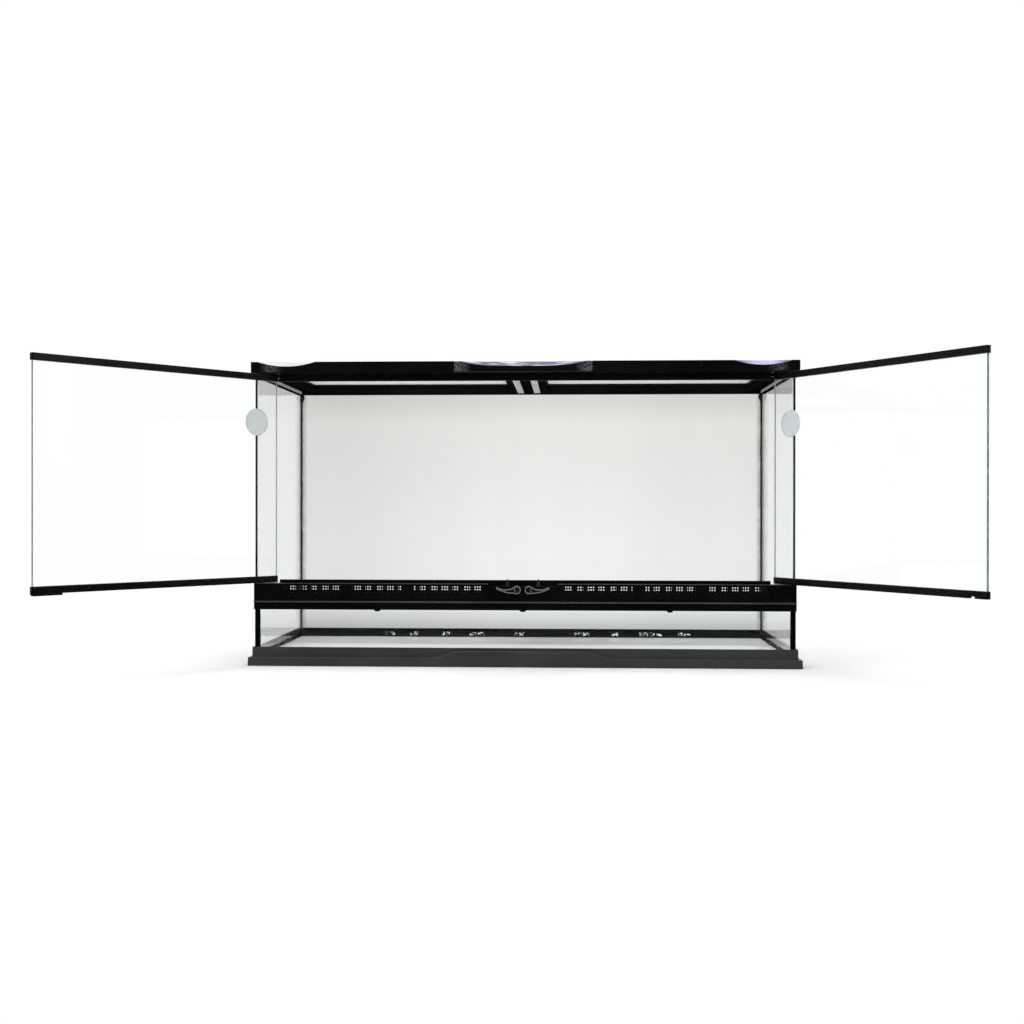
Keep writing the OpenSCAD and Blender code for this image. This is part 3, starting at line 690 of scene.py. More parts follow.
@dataclass(frozen=True)
class PolishedScoop(Finish):
    """The cut facets of the front beam: polished and streaked, with a painted reflection of the overhead light as
    their colour, each scoop its own.
    """

    name: str = "polished_scoop"
    # painted reflection of each scoop, and bright a painted highlight on the right scoop
    left: Colour = (0.66, 0.69, 0.67)
    middle: Colour = (0.07, 0.07, 0.17)
    right: Colour = (0.14, 0.14, 0.26)
    bright: Colour = (0.52, 0.52, 0.76)

    def _make(self) -> bpy.types.Material:
        """The painted reflection changes across the cabinet, and painted glint streaks run along each facet."""
        recipe = Recipe.start(self.name)
        graph = recipe.graph
        across = graph.add("ShaderNodeSeparateXYZ", Vector=recipe.place).outputs["X"]
        # cast is the painted reflection, which changes across the cabinet
        cast = graph.blend(graph.span(across, -0.3, -0.2, 0.0, 1.0), self.left, self.middle)
        cast = graph.blend(graph.span(across, 0.2, 0.3, 0.0, 1.0), cast, self.right)
        centre = graph.maths("ABSOLUTE", graph.maths("SUBTRACT", across, 0.396))
        cast = graph.blend(graph.span(centre, 0.012, 0.04, 1.0, 0.0), cast, self.bright)
        dull = graph.span(graph.maths("ABSOLUTE", across), 0.2, 0.3, 1.0, 0.0)
        stretch = graph.add("ShaderNodeMapping", Vector=recipe.place)
        stretch.inputs["Scale"].default_value = (22.0, 300.0, 160.0)
        stretch.inputs["Rotation"].default_value = (0.0, 0.0, 0.5)
        streaks = graph.add("ShaderNodeTexNoise", Vector=stretch.outputs[0], Scale=1.0)
        streaks.inputs["Detail"].default_value = 4.0
        streak = streaks.outputs["Fac"]
        # painted glints in streaks, stronger in the middle
        share = graph.span(streak, 0.48, 0.66, 0.0, 0.3)
        share = graph.maths("MULTIPLY", share, graph.span(dull, 0.0, 1.0, 1.0, 3.0))
        glint = graph.blend(dull, (0.22, 0.22, 0.32), (0.80, 0.80, 0.95))
        graph.feed(recipe.shader, "Base Color", graph.blend(share, cast, glint))
        rough = graph.maths("ADD", graph.span(streak, 0.3, 0.7, 0.12, 0.4), graph.maths("MULTIPLY", dull, 0.3))
        graph.feed(recipe.shader, "Roughness", rough)
        coat = graph.maths("MULTIPLY", graph.span(streak, 0.3, 0.6, 0.15, 0.05), graph.span(dull, 0.0, 1.0, 1.0, 0.2))
        graph.feed(recipe.shader, "Coat Weight", coat)
        recipe.bump(streak, 0.0001)
        recipe.keep(Specular_IOR_Level=0.15, Coat_IOR=1.6, Coat_Roughness=0.12)
        return recipe.material


@dataclass(frozen=True)
class FloatGlass(Finish):
    """Float glass. Its tint may carry painted shade, which changes with height and towards the cabinet's sides."""

    name: str
    tints_and_shades: tuple[tuple[float, Colour], ...]
    # sides: painted shade, how far the colour darkens towards each side of the cabinet
    sides: tuple[float, float] = (1.0, 1.0)
    haze: float = 0.04
    clarity: float = 1.0
    shine: float = 1.0
    index: float = 1.5
    film: float = 0.0

    def _make(self) -> bpy.types.Material:
        """Transmission whose tint and painted shade follow the height, with wipe marks on it."""
        recipe = Recipe.start(self.name)
        graph, place = recipe.graph, recipe.place
        axes = graph.add("ShaderNodeSeparateXYZ", Vector=place)
        # tint by height; where the tones darken they paint shade
        tone: Any = self.tints_and_shades[0][1]
        for (low, _), (high, colour) in zip(self.tints_and_shades[:-1], self.tints_and_shades[1:]):
            share = graph.span(axes.outputs["Z"], low * MM, high * MM, 0.0, 1.0)
            tone = graph.blend(share, tone, colour)
        # painted shade: darker towards the cabinet's sides
        for edge, level in zip((-0.42, 0.42), self.sides):
            if level < 1.0:
                share = graph.span(axes.outputs["X"], edge, 0.05, 1.0, 0.0)
                shade = graph.add("ShaderNodeMix", {"data_type": "RGBA", "blend_type": "MULTIPLY"})
                graph.feed(shade, 0, share)
                graph.feed(shade, 6, tone)
                graph.feed(shade, 7, (level, level, level))
                tone = shade.outputs[2]
        stretch = graph.add("ShaderNodeMapping", Vector=place)
        stretch.inputs["Scale"].default_value = (9.0, 2.5, 0.8)
        wipe = graph.add("ShaderNodeTexNoise", Vector=stretch.outputs[0], Scale=1.0)
        wipe.inputs["Detail"].default_value = 3.0
        uneven = graph.span(wipe.outputs["Fac"], 0.3, 0.7, self.haze, 0.0)
        tone = graph.blend(uneven, tone, (0.45, 0.47, 0.45))
        if self.film:
            reach = graph.maths("ABSOLUTE", axes.outputs["X"])
            patchy = graph.add("ShaderNodeTexNoise", Vector=place, Scale=55.0)
            patchy.inputs["Detail"].default_value = 4.0
            share = graph.maths(
                "MULTIPLY",
                graph.span(reach, 0.431, 0.444, 0.0, self.film),
                graph.span(patchy.outputs["Fac"], 0.25, 0.6, 0.5, 1.0),
            )
            tone = graph.blend(share, tone, (0.12, 0.125, 0.12))
        graph.feed(recipe.shader, "Base Color", tone)
        smear = graph.add("ShaderNodeTexNoise", Vector=place, Scale=6.0)
        graph.feed(recipe.shader, "Roughness", graph.span(smear.outputs["Fac"], 0.4, 0.8, 0.0, 0.02))
        recipe.keep(Transmission_Weight=self.clarity, IOR=self.index)
        recipe.keep(Specular_Tint=(self.shine, self.shine, self.shine, 1.0))
        path = graph.add("ShaderNodeLightPath")
        clear = graph.add("ShaderNodeBsdfTransparent", Color=(0.95, 0.96, 0.955))
        mix = graph.add("ShaderNodeMixShader")
        graph.feed(mix, 0, path.outputs["Is Shadow Ray"])
        graph.feed(mix, 1, recipe.shader.outputs[0])
        graph.feed(mix, 2, clear.outputs[0])
        graph.feed(recipe.output, "Surface", mix.outputs[0])
        return recipe.material


@dataclass(frozen=True)
class GlassEdge(Finish):
    """The ground edge of a pane: deep colour under a polished skin."""

    name: str
    colour: Colour
    rough: float = 0.2
    inner: Colour | None = None
    split: float = 446.3
    specular: float = 0.2

    def _make(self) -> bpy.types.Material:
        """Streaks along the edge in the colour, a paler inner part, a fine ground bump."""
        recipe = Recipe.start(self.name)
        graph = recipe.graph
        streak = graph.add("ShaderNodeTexNoise", Vector=recipe.place, Scale=120.0).outputs["Fac"]
        lighter = tuple(min(1.0, c * 1.6 + 0.001) for c in self.colour)
        base = graph.blend(graph.span(streak, 0.35, 0.75, 0, 1), self.colour, lighter)
        if self.inner:
            across = graph.add("ShaderNodeSeparateXYZ", Vector=recipe.place).outputs["X"]
            across = graph.maths("ABSOLUTE", across)
            half = 0.3
            share = graph.span(across, (self.split - half) * MM, (self.split + half) * MM, 1.0, 0.0)
            height = graph.add("ShaderNodeSeparateXYZ", Vector=recipe.place).outputs["Z"]
            above = graph.span(height, 0.104, 0.106, 0.0, 1.0)
            share = graph.maths("MULTIPLY", share, above)
            base = graph.blend(share, base, self.inner)
        graph.feed(recipe.shader, "Base Color", base)
        rough = graph.span(streak, 0.3, 0.7, self.rough, self.rough + 0.15)
        graph.feed(recipe.shader, "Roughness", rough)
        recipe.bump(streak, 0.00005)
        recipe.keep(Specular_IOR_Level=self.specular)
        return recipe.material


@dataclass(frozen=True)
class CuredSilicone(Finish):
    """Black silicone, tooled by hand: soft ripples, craters, grey where it runs thin, and painted white glints where
    asked.
    """

    name: str
    colour: Colour = (0.0025, 0.0025, 0.004)
    thin: Colour = (0.16, 0.165, 0.165)
    gloss: float = 0.12
    painted_glints: float = 0.0
    specular: float = 0.5

    def _make(self) -> bpy.types.Material:
        """Gloss in patches, a slow ripple with craters, thin grey edges and painted white glints."""
        recipe = Recipe.start(self.name)
        graph, place = recipe.graph, recipe.place
        slow = graph.add("ShaderNodeTexNoise", Vector=place, Scale=90.0).outputs["Fac"]
        pits = graph.add("ShaderNodeTexVoronoi", Vector=place, Scale=260.0)
        crater = graph.span(pits.outputs["Distance"], 0.0, 0.35, 0.0, 1.0)
        lighter = tuple(c * 3 for c in self.colour)
        tone = graph.blend(graph.span(slow, 0.35, 0.65, 0.0, 1.0), self.colour, lighter)
        edge = graph.maths("MULTIPLY", recipe.mark(), graph.span(slow, 0.2, 0.6, 0.6, 1.0))
        base = graph.blend(edge, tone, self.thin)
        # painted glints: white specks between 18.5 and 25.5 mm up stand in for glints of light
        if self.painted_glints:
            glint_noise = graph.add("ShaderNodeTexNoise", Vector=place, Scale=300.0).outputs["Fac"]
            height = graph.add("ShaderNodeSeparateXYZ", Vector=place).outputs["Z"]
            band = graph.maths(
                "MULTIPLY",
                graph.span(height, 0.0185, 0.0195, 0.0, 1.0),
                graph.span(height, 0.0245, 0.0255, 1.0, 0.0),
            )
            share = graph.maths("MULTIPLY", band, graph.span(glint_noise, 0.52, 0.60, 0.0, self.painted_glints))
            base = graph.blend(share, base, (1.0, 1.0, 1.0))
        graph.feed(recipe.shader, "Base Color", base)
        patches = graph.add("ShaderNodeTexNoise", Vector=place, Scale=24.0).outputs["Fac"]
        rough = graph.span(patches, 0.46, 0.56, 0.5, self.gloss)
        graph.feed(recipe.shader, "Roughness", rough)
        recipe.bump(graph.maths("MULTIPLY_ADD", crater, 0.25, slow), 0.0006)
        recipe.keep(Specular_IOR_Level=self.specular)
        return recipe.material


@dataclass(frozen=True)
class SpeckledPlastic(Finish):
    """Pale plastic with a fine speckle, as on the strips and the frosted pads."""

    name: str
    colour: Colour
    dark: Colour
    scale: float
    share: float
    rough: float = 0.5

    def _make(self) -> bpy.types.Material:
        """Speckle from a fine noise, in the colour and in the bump."""
        recipe = Recipe.start(self.name)
        graph = recipe.graph
        noise = graph.add("ShaderNodeTexNoise", Vector=recipe.place, Scale=self.scale)
        noise.inputs["Detail"].default_value = 3.0
        speck = noise.outputs["Fac"]
        base = graph.blend(graph.span(speck, 0.40, 0.62, self.share, 0.0), self.colour, self.dark)
        graph.feed(recipe.shader, "Base Color", base)
        rough = graph.span(speck, 0.3, 0.7, self.rough, self.rough + 0.2)
        graph.feed(recipe.shader, "Roughness", rough)
        recipe.bump(speck, 0.0001)
        return recipe.material


@dataclass(frozen=True)
class SmudgedReflection(Finish):
    """Black plastic with smudges in short strokes that carry a painted lavender-grey reflection, at the pocket's ends
    and beside the side scoops.
    """

    name: str = "smudged_painted_reflection"
    colour: Colour = (0.0022, 0.0022, 0.0028)
    reflection_tone: Colour = (0.16, 0.16, 0.20)

    def _make(self) -> bpy.types.Material:
        """Painted reflection in strokes from a stretched noise, weaker away from the pocket's ends and the side
        scoops.
        """
        recipe = Recipe.start(self.name)
        graph, place = recipe.graph, recipe.place
        reach = graph.add("ShaderNodeSeparateXYZ", Vector=place).outputs["X"]
        reach = graph.maths("ABSOLUTE", reach)
        pocket = graph.maths(
            "MULTIPLY",
            graph.span(reach, 0.085, 0.114, 0.1, 1.0),
            graph.span(reach, 0.2, 0.21, 1.0, 0.0),
        )
        aside = graph.span(graph.maths("ABSOLUTE", graph.maths("SUBTRACT", reach, 0.422)), 0.0, 0.02, 0.6, 0.0)
        reflection_zone = graph.maths("MAXIMUM", pocket, aside)
        turn = graph.add("ShaderNodeMapping", Vector=place)
        turn.inputs["Rotation"].default_value = (0.0, 0.6, 0.0)
        turn.inputs["Scale"].default_value = (620.0, 200.0, 240.0)
        stroke = graph.add("ShaderNodeTexNoise", Vector=turn.outputs[0], Scale=1.0)
        stroke.inputs["Detail"].default_value = 3.0
        patchy = graph.span(stroke.outputs["Fac"], 0.42, 0.62, 0.1, 1.0)
        share = graph.maths("MULTIPLY", patchy, reflection_zone)
        # painted reflection: lavender-grey where the strokes fall in the zone
        graph.feed(recipe.shader, "Base Color", graph.blend(share, self.colour, self.reflection_tone))
        graph.feed(recipe.shader, "Roughness", graph.span(stroke.outputs["Fac"], 0.3, 0.7, 0.3, 0.55))
        recipe.bump(stroke.outputs["Fac"], 0.00006)
        recipe.keep(Specular_IOR_Level=0.15)
        return recipe.material


@dataclass(frozen=True)
class RibbedHollow(Finish):
    """The wall of a hollow under a beam: a painted reflection as pale stripes between ribs near its foot, black
    above.
    """

    name: str = "ribbed_hollow"
    # pale: the colour of the painted reflection
    pale: Colour = (0.96, 0.96, 0.94)
    black: Colour = (0.0022, 0.0022, 0.0023)
    foot: float = 483.5
    high: float = 489.5
    pitch: float = 14.0

    def _make(self) -> bpy.types.Material:
        """Painted reflection where the sine of the depth is high and the height is low, with grain."""
        recipe = Recipe.start(self.name)
        graph, place = recipe.graph, recipe.place
        axes = graph.add("ShaderNodeSeparateXYZ", Vector=place)
        turns = graph.maths("MULTIPLY", axes.outputs["Y"], 2000.0 * math.pi / self.pitch)
        rib = graph.span(graph.maths("SINE", turns), -0.7, -0.2, 0.3, 1.0)
        low = graph.span(axes.outputs["Z"], (self.high - 0.5) * MM, self.high * MM, 1.0, 0.0)
        share = graph.maths("MULTIPLY", rib, low)
        graph.feed(recipe.shader, "Base Color", graph.blend(share, self.black, self.pale))
        grain = graph.add("ShaderNodeTexNoise", Vector=place, Scale=600.0).outputs["Fac"]
        graph.feed(recipe.shader, "Roughness", graph.span(grain, 0.3, 0.7, 0.55, 0.75))
        recipe.bump(grain, 0.00005)
        recipe.keep(Specular_IOR_Level=0.08)
        return recipe.material


@dataclass(frozen=True)
class FrostedPad(Finish):
    """Frosted soft plastic: slow changes of cast, and a rim that is darker in places and has painted glints."""

    name: str
    cool: Colour
    warm: Colour
    rim: Colour
    glint: Colour

    def _make(self) -> bpy.types.Material:
        """Casts from a slow noise, the rim and its glints from the mark and a quick one."""
        recipe = Recipe.start(self.name)
        graph, place = recipe.graph, recipe.place
        slow = graph.add("ShaderNodeTexNoise", Vector=place, Scale=45.0).outputs["Fac"]
        quick = graph.add("ShaderNodeTexNoise", Vector=place, Scale=190.0).outputs["Fac"]
        frost = graph.add("ShaderNodeTexNoise", Vector=place, Scale=900.0).outputs["Fac"]
        base = graph.blend(graph.span(slow, 0.38, 0.62, 0.0, 1.0), self.cool, self.warm)
        edge = recipe.mark()
        dark = graph.maths("MULTIPLY", edge, graph.span(quick, 0.35, 0.6, 0.15, 1.0))
        # painted glints on the rim
        bright = graph.maths("MULTIPLY", edge, graph.span(quick, 0.36, 0.27, 0.0, 1.0))
        base = graph.blend(dark, base, self.rim)
        base = graph.blend(bright, base, self.glint)
        graph.feed(recipe.shader, "Base Color", base)
        graph.feed(recipe.shader, "Roughness", graph.span(frost, 0.3, 0.7, 0.4, 0.6))
        recipe.bump(frost, 0.0001)
        return recipe.material


@dataclass(frozen=True)
class DrawnSteel(Finish):
    """Bare steel with drawing lines along it."""

    name: str
    colour: Colour
    low_rough: float = 0.25
    high_rough: float = 0.45
    metallic: float = 1.0

    def _make(self) -> bpy.types.Material:
        """Fine lines across the height in roughness and bump."""
        recipe = Recipe.start(self.name)
        graph = recipe.graph
        stretch = graph.add("ShaderNodeMapping", Vector=recipe.place)
        stretch.inputs["Scale"].default_value = (300.0, 300.0, 2500.0)
        lines = graph.add("ShaderNodeTexNoise", Vector=stretch.outputs[0], Scale=1.0).outputs["Fac"]
        darker = tuple(c * 0.8 for c in self.colour)
        base = graph.blend(graph.span(lines, 0.3, 0.7, 0.0, 1.0), self.colour, darker)
        graph.feed(recipe.shader, "Base Color", base)
        rough = graph.span(lines, 0.3, 0.7, self.low_rough, self.high_rough)
        graph.feed(recipe.shader, "Roughness", rough)
        recipe.bump(lines, 0.00001)
        recipe.keep(Metallic=self.metallic)
        return recipe.material


# mark_highlight here is a painted highlight for marked points
BLACK = MouldedPlastic(
    "black_moulded", (0.0018, 0.0018, 0.0020), specular=0.12, mark_highlight=(0.055, 0.056, 0.062)
)
# painted highlight: a lighter black for the strip's bead and the ledge's front edge
TRIM_HIGHLIGHT = MouldedPlastic("trim_painted_highlight", (0.036, 0.036, 0.035), 0.35, 0.5, 0.4)
SMUDGED_REFLECTION = SmudgedReflection()
HOOK_BLACK = MouldedPlastic(
    "hook_moulded", (0.012, 0.012, 0.018), 0.3, 0.5, 0.4, 900.0, 0.00006, 1.0, 0.12
)
MATT_BLACK = MouldedPlastic(
    "matt_black_moulded", (0.0045, 0.0045, 0.0046), 0.6, 0.75, 0.0, 350.0, 0.00006, 0.5, 0.02
)
# the last colour is a painted highlight along the lever's rim and round its head
LEVER_BLACK = MouldedPlastic(
    "lever_moulded",
    (0.0024, 0.0024, 0.0026),
    0.2,
    0.32,
    0.4,
    700.0,
    0.00001,
    0.2,
    0.02,
    (0.19, 0.195, 0.195),
)
CHARCOAL = MouldedPlastic(
    "charcoal_moulded", (0.0278, 0.0268, 0.0308), 0.42, 0.58, 0.3, 420.0, 0.00004, 0.25, 0.05
)
SCREEN_BLACK = MouldedPlastic(
    "screen_moulded", (0.004, 0.004, 0.0042), 0.5, 0.65, 0.15, 500.0, 0.00003, 0.4, 0.04
)
NATURAL = MouldedPlastic(
    "natural_moulded", (0.70, 0.70, 0.67), 0.35, 0.5, 0.4, 500.0, 0.00001, 0.0, 0.0
)
# painted reflection and glints on the scoop facets
SCOOP = PolishedScoop()
CLEAR = FloatGlass("clear_glass", ((0.0, (0.94, 0.965, 0.95)), (500.0, (0.93, 0.955, 0.94))))
FLOOR_CLEAR = FloatGlass(
    "floor_glass",
    ((0.0, (0.97, 0.985, 0.97)), (500.0, (0.97, 0.985, 0.97))),
    clarity=0.05,
    shine=0.4,
    index=1.3,
)
FRONT_CLEAR = FloatGlass(
    "front_glass",
    ((0.0, (0.96, 0.975, 0.965)), (500.0, (0.95, 0.97, 0.955))),
    haze=0.02,
    index=1.17,
)
DOOR_CLEAR = FloatGlass(
    "door_glass",
    ((0.0, (0.993, 1.0, 0.997)), (500.0, (0.993, 1.0, 0.997))),
    haze=0.0,
    index=1.2,
)
# painted shade in the back pane: near-black below 30 mm, dark grey rising to its lightest at 72 mm, darker towards
# the top and towards both sides
BACK_CLEAR = FloatGlass(
    "back_glass",
    (
        (30.0, (0.02, 0.02, 0.025)),
        (32.5, (0.56, 0.58, 0.56)),
        (58.0, (0.75, 0.77, 0.75)),
        (72.0, (0.92, 0.94, 0.92)),
        (150.0, (0.88, 0.90, 0.88)),
        (420.0, (0.82, 0.83, 0.80)),
        (480.0, (0.70, 0.71, 0.68)),
    ),
    (0.86, 0.93),
    0.06,
    shine=0.4,
    index=1.3,
    film=0.75,
)
DARK_EDGE = GlassEdge("seamed_edge", (0.0015, 0.004, 0.003), 0.3)
SIDE_EDGE = GlassEdge(
    "side_edge", (0.0006, 0.001, 0.0008), 0.5, (0.80, 0.84, 0.82), specular=0.04
)
PALE_EDGE = GlassEdge("polished_edge", (0.14, 0.22, 0.195), 0.15, (0.40, 0.445, 0.43), 500.0)
SILICONE = CuredSilicone("black_silicone")
BEADED = CuredSilicone("beaded_silicone", thin=(0.02, 0.02, 0.02), specular=0.02)
# silicone with painted white glints
GLINT_SILICONE = CuredSilicone(
    "silicone_painted_glints", thin=(0.02, 0.02, 0.02), painted_glints=1.0, specular=0.02
)
PAD = FrostedPad(
    "frosted_pad", (0.63, 0.71, 0.705), (0.66, 0.68, 0.71), (0.46, 0.49, 0.49), (0.82, 0.85, 0.85)
)
STRIP_PALE = SpeckledPlastic("speckled_strip", (0.88, 0.89, 0.88), (0.16, 0.16, 0.17), 520.0, 0.9)
STEEL = DrawnSteel("drawn_steel", (0.60, 0.60, 0.62))
WIRE = DrawnSteel("bright_wire", (0.92, 0.92, 0.92), 0.4, 0.55, 0.1)


# ------------------------------------------------------------------ pieces


def make_piece(
    name: str,
    surface: Surface,
    finishes: Sequence[Finish],
    body: str,
    stands_for: Sequence[str] = (),
    sharp: float = 35.0,
) -> bpy.types.Object:
    """Turns a surface into an object that rides on a body.

    Args:
        name: Name of the piece.
        surface: Its surface, in millimetres.
        finishes: One finish for each face slot.
        body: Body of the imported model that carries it.
        stands_for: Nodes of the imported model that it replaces.
        sharp: Angle in degrees above which an edge shades sharp.

    Returns:
        The object.
    """
    mesh = bpy.data.meshes.new(name)
    faces = surface.quads.tolist() + [cap.tolist() for cap in surface.caps]
    mesh.from_pydata((surface.points * MM).tolist(), [], faces)
    slots = np.concatenate([surface.quad_slots, np.array(surface.cap_slots, int)])
    for finish in finishes:
        mesh.materials.append(finish.material())
    mesh.polygons.foreach_set("material_index", slots.astype(np.int32))
    mesh.polygons.foreach_set("use_smooth", np.ones(len(faces), bool))
    if surface.marks.any():
        mesh.attributes.new(MARK, "FLOAT", "POINT").data.foreach_set("value", surface.marks)
    mesh.update()
    mesh.set_sharp_from_angle(angle=math.radians(sharp))
    piece = bpy.data.objects.new(name, mesh)
    bpy.context.scene.collection.objects.link(piece)
    even = piece.modifiers.new("even_normals", "WEIGHTED_NORMAL")
    even.keep_sharp = True
    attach(piece, body)
    if stands_for:
        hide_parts(*stands_for)
    LOG.info("%s: %d faces on %s", name, len(faces), body)
    return piece


def dress_node(name: str, finish: Finish, bevel: float = 0.0) -> None:
    """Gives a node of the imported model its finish, and rounds its edges if asked.

    Args:
        name: Name of the node.
        finish: Its finish.
        bevel: Width of the rounding in millimetres, or 0 for none.
    """
    node = bpy.data.objects[name]
    node.data.materials.clear()
    node.data.materials.append(finish.material())
    if bevel > 0:
        weld = node.modifiers.new("weld", "WELD")
        weld.merge_threshold = 1e-6
        edge = node.modifiers.new("edge", "BEVEL")
        edge.width = bevel * MM
        edge.segments = 2
        edge.limit_method = "ANGLE"
        edge.angle_limit = math.radians(40)
        edge.use_clamp_overlap = True
        even = node.modifiers.new("even_normals", "WEIGHTED_NORMAL")
        even.keep_sharp = True
    LOG.info("%s: dressed", name)


class Side(Enum):
    """The two sides of the cabinet, as the sign of X."""

    LEFT = -1
    RIGHT = 1

    @property
    def word(self) -> str:
        """Name of the side, as the nodes have it."""
        return self.name.lower()

    def place(self, surface: Surface) -> Surface:
        """Mirrors a right-hand surface if this is the left side."""
        return surface.mirrored() if self is Side.LEFT else surface


@dataclass(frozen=True)
class Sizes:
    """The cabinet's main sizes, in millimetres."""

    half_w: float = 450.0
    half_d: float = 176.0
    wall: float = 5.0
    gap: float = 1.0
    top: float = 508.0
    rim: float = 503.5
    frame_low: float = 483.5
    over: float = 488.0
    ledge: float = 138.0
    shelf: float = 11.0
    floor_top: float = 16.0
    pane_top: float = 493.5
    front_top: float = 103.5

    @property
    def in_w(self) -> float:
        """Half width between the side panes."""
        return self.half_w - self.wall

    @property
    def in_d(self) -> float:
        """Half depth between the back pane and the lower front pane."""
        return self.half_d - self.wall


SIZES = Sizes()


@dataclass
class BaseFrame:
    """The stepped tray frame under the cabinet."""

    shelf_w: float = 432.3
    shelf_d: float = 158.3
    band_in: float = 18.0
    band_out: float = 21.7
    flange_out: float = 28.2
    band_h: float = 31.0
    flange_h: float = 14.0
    rib: float = 3.0
    under: float = 7.0
    wave_rise: float = 11.5
    wave_flat: float = 98.0
    wave_fall: float = 60.0
    corner: float = 1.6

    def wave(self, x: Array) -> Array:
        """Rise of the front flange: half a cosine on each side of a level top."""
        t = np.clip((np.abs(x) - self.wave_flat) / self.wave_fall, 0.0, 1.0)
        return self.wave_rise * (1 + np.cos(math.pi * t)) / 2

    def stations(self, rise: Array) -> Array:
        """Section of the frame for each rise of the flange.

        Args:
            rise: How far the flange rises at each ring.

        Returns:
            Distance outwards from the shelf's edge and height, (rings, points, 2).
        """
        foot, step, top = 0.0, SIZES.shelf, self.band_h
        out, band, inner = self.flange_out, self.band_out, self.band_in
        rows = [
            (0.0, foot),
            (self.rib, foot),
            (self.rib, self.under),
            (inner, self.under),
            (inner, foot),
            (out, foot),
            (out - 0.6, self.flange_h),
            (band, self.flange_h),
            (band - 0.3, top),
            (inner, top),
            (inner, step),
            (0.0, step),
        ]
        section = np.broadcast_to(np.array(rows), (len(rise), len(rows), 2)).copy()
        section[:, 6:8, 1] += rise[:, None]
        return rounded(section, 0.9)

    def build(self) -> None:
        """Carries the section round the four sides, with the wave along the front."""
        a = np.linspace(0.0, math.pi / 2, 4)
        draw_x, draw_y = self.corner * (1 - np.cos(a)), self.corner * (1 - np.sin(a))
        front_x = np.concatenate(
            [[-300.0], np.linspace(-160, 160, 97), [300.0]]
        )
        zero, one = np.zeros_like(front_x), np.ones_like(front_x)
        corner = np.ones(4)
        # For each ring: x = side_x * X + shift_x and y = side_y * Y + shift_y
        side_x = np.concatenate([-corner, zero, corner, corner, -corner])
        side_y = np.concatenate([-corner, -one, -corner, corner, corner])
        shift_x = np.concatenate([draw_x, front_x, -draw_x[::-1], -draw_x, draw_x[::-1]])
        shift_y = np.concatenate([draw_y, zero, draw_y[::-1], -draw_y, -draw_y[::-1]])
        rise = np.concatenate([np.zeros(4), self.wave(front_x), np.zeros(12)])
        section = self.stations(rise)
        x = side_x[:, None] * (self.shelf_w + section[..., 0]) + shift_x[:, None]
        y = side_y[:, None] * (self.shelf_d + section[..., 0]) + shift_y[:, None]
        ring = skinned(np.stack([x, y, section[..., 1]], axis=-1), closed=True)
        brace = prism(
            box_outline(-20, 20, 0, SIZES.shelf, 0.8),
            -self.shelf_d - 1,
            self.shelf_d + 1,
            Axis.Y,
            0.2,
        )
        make_piece(
            "base_frame_shell",
            joined([ring, brace]),
            [CHARCOAL],
            "cabinet",
            ["base_frame"],
        )


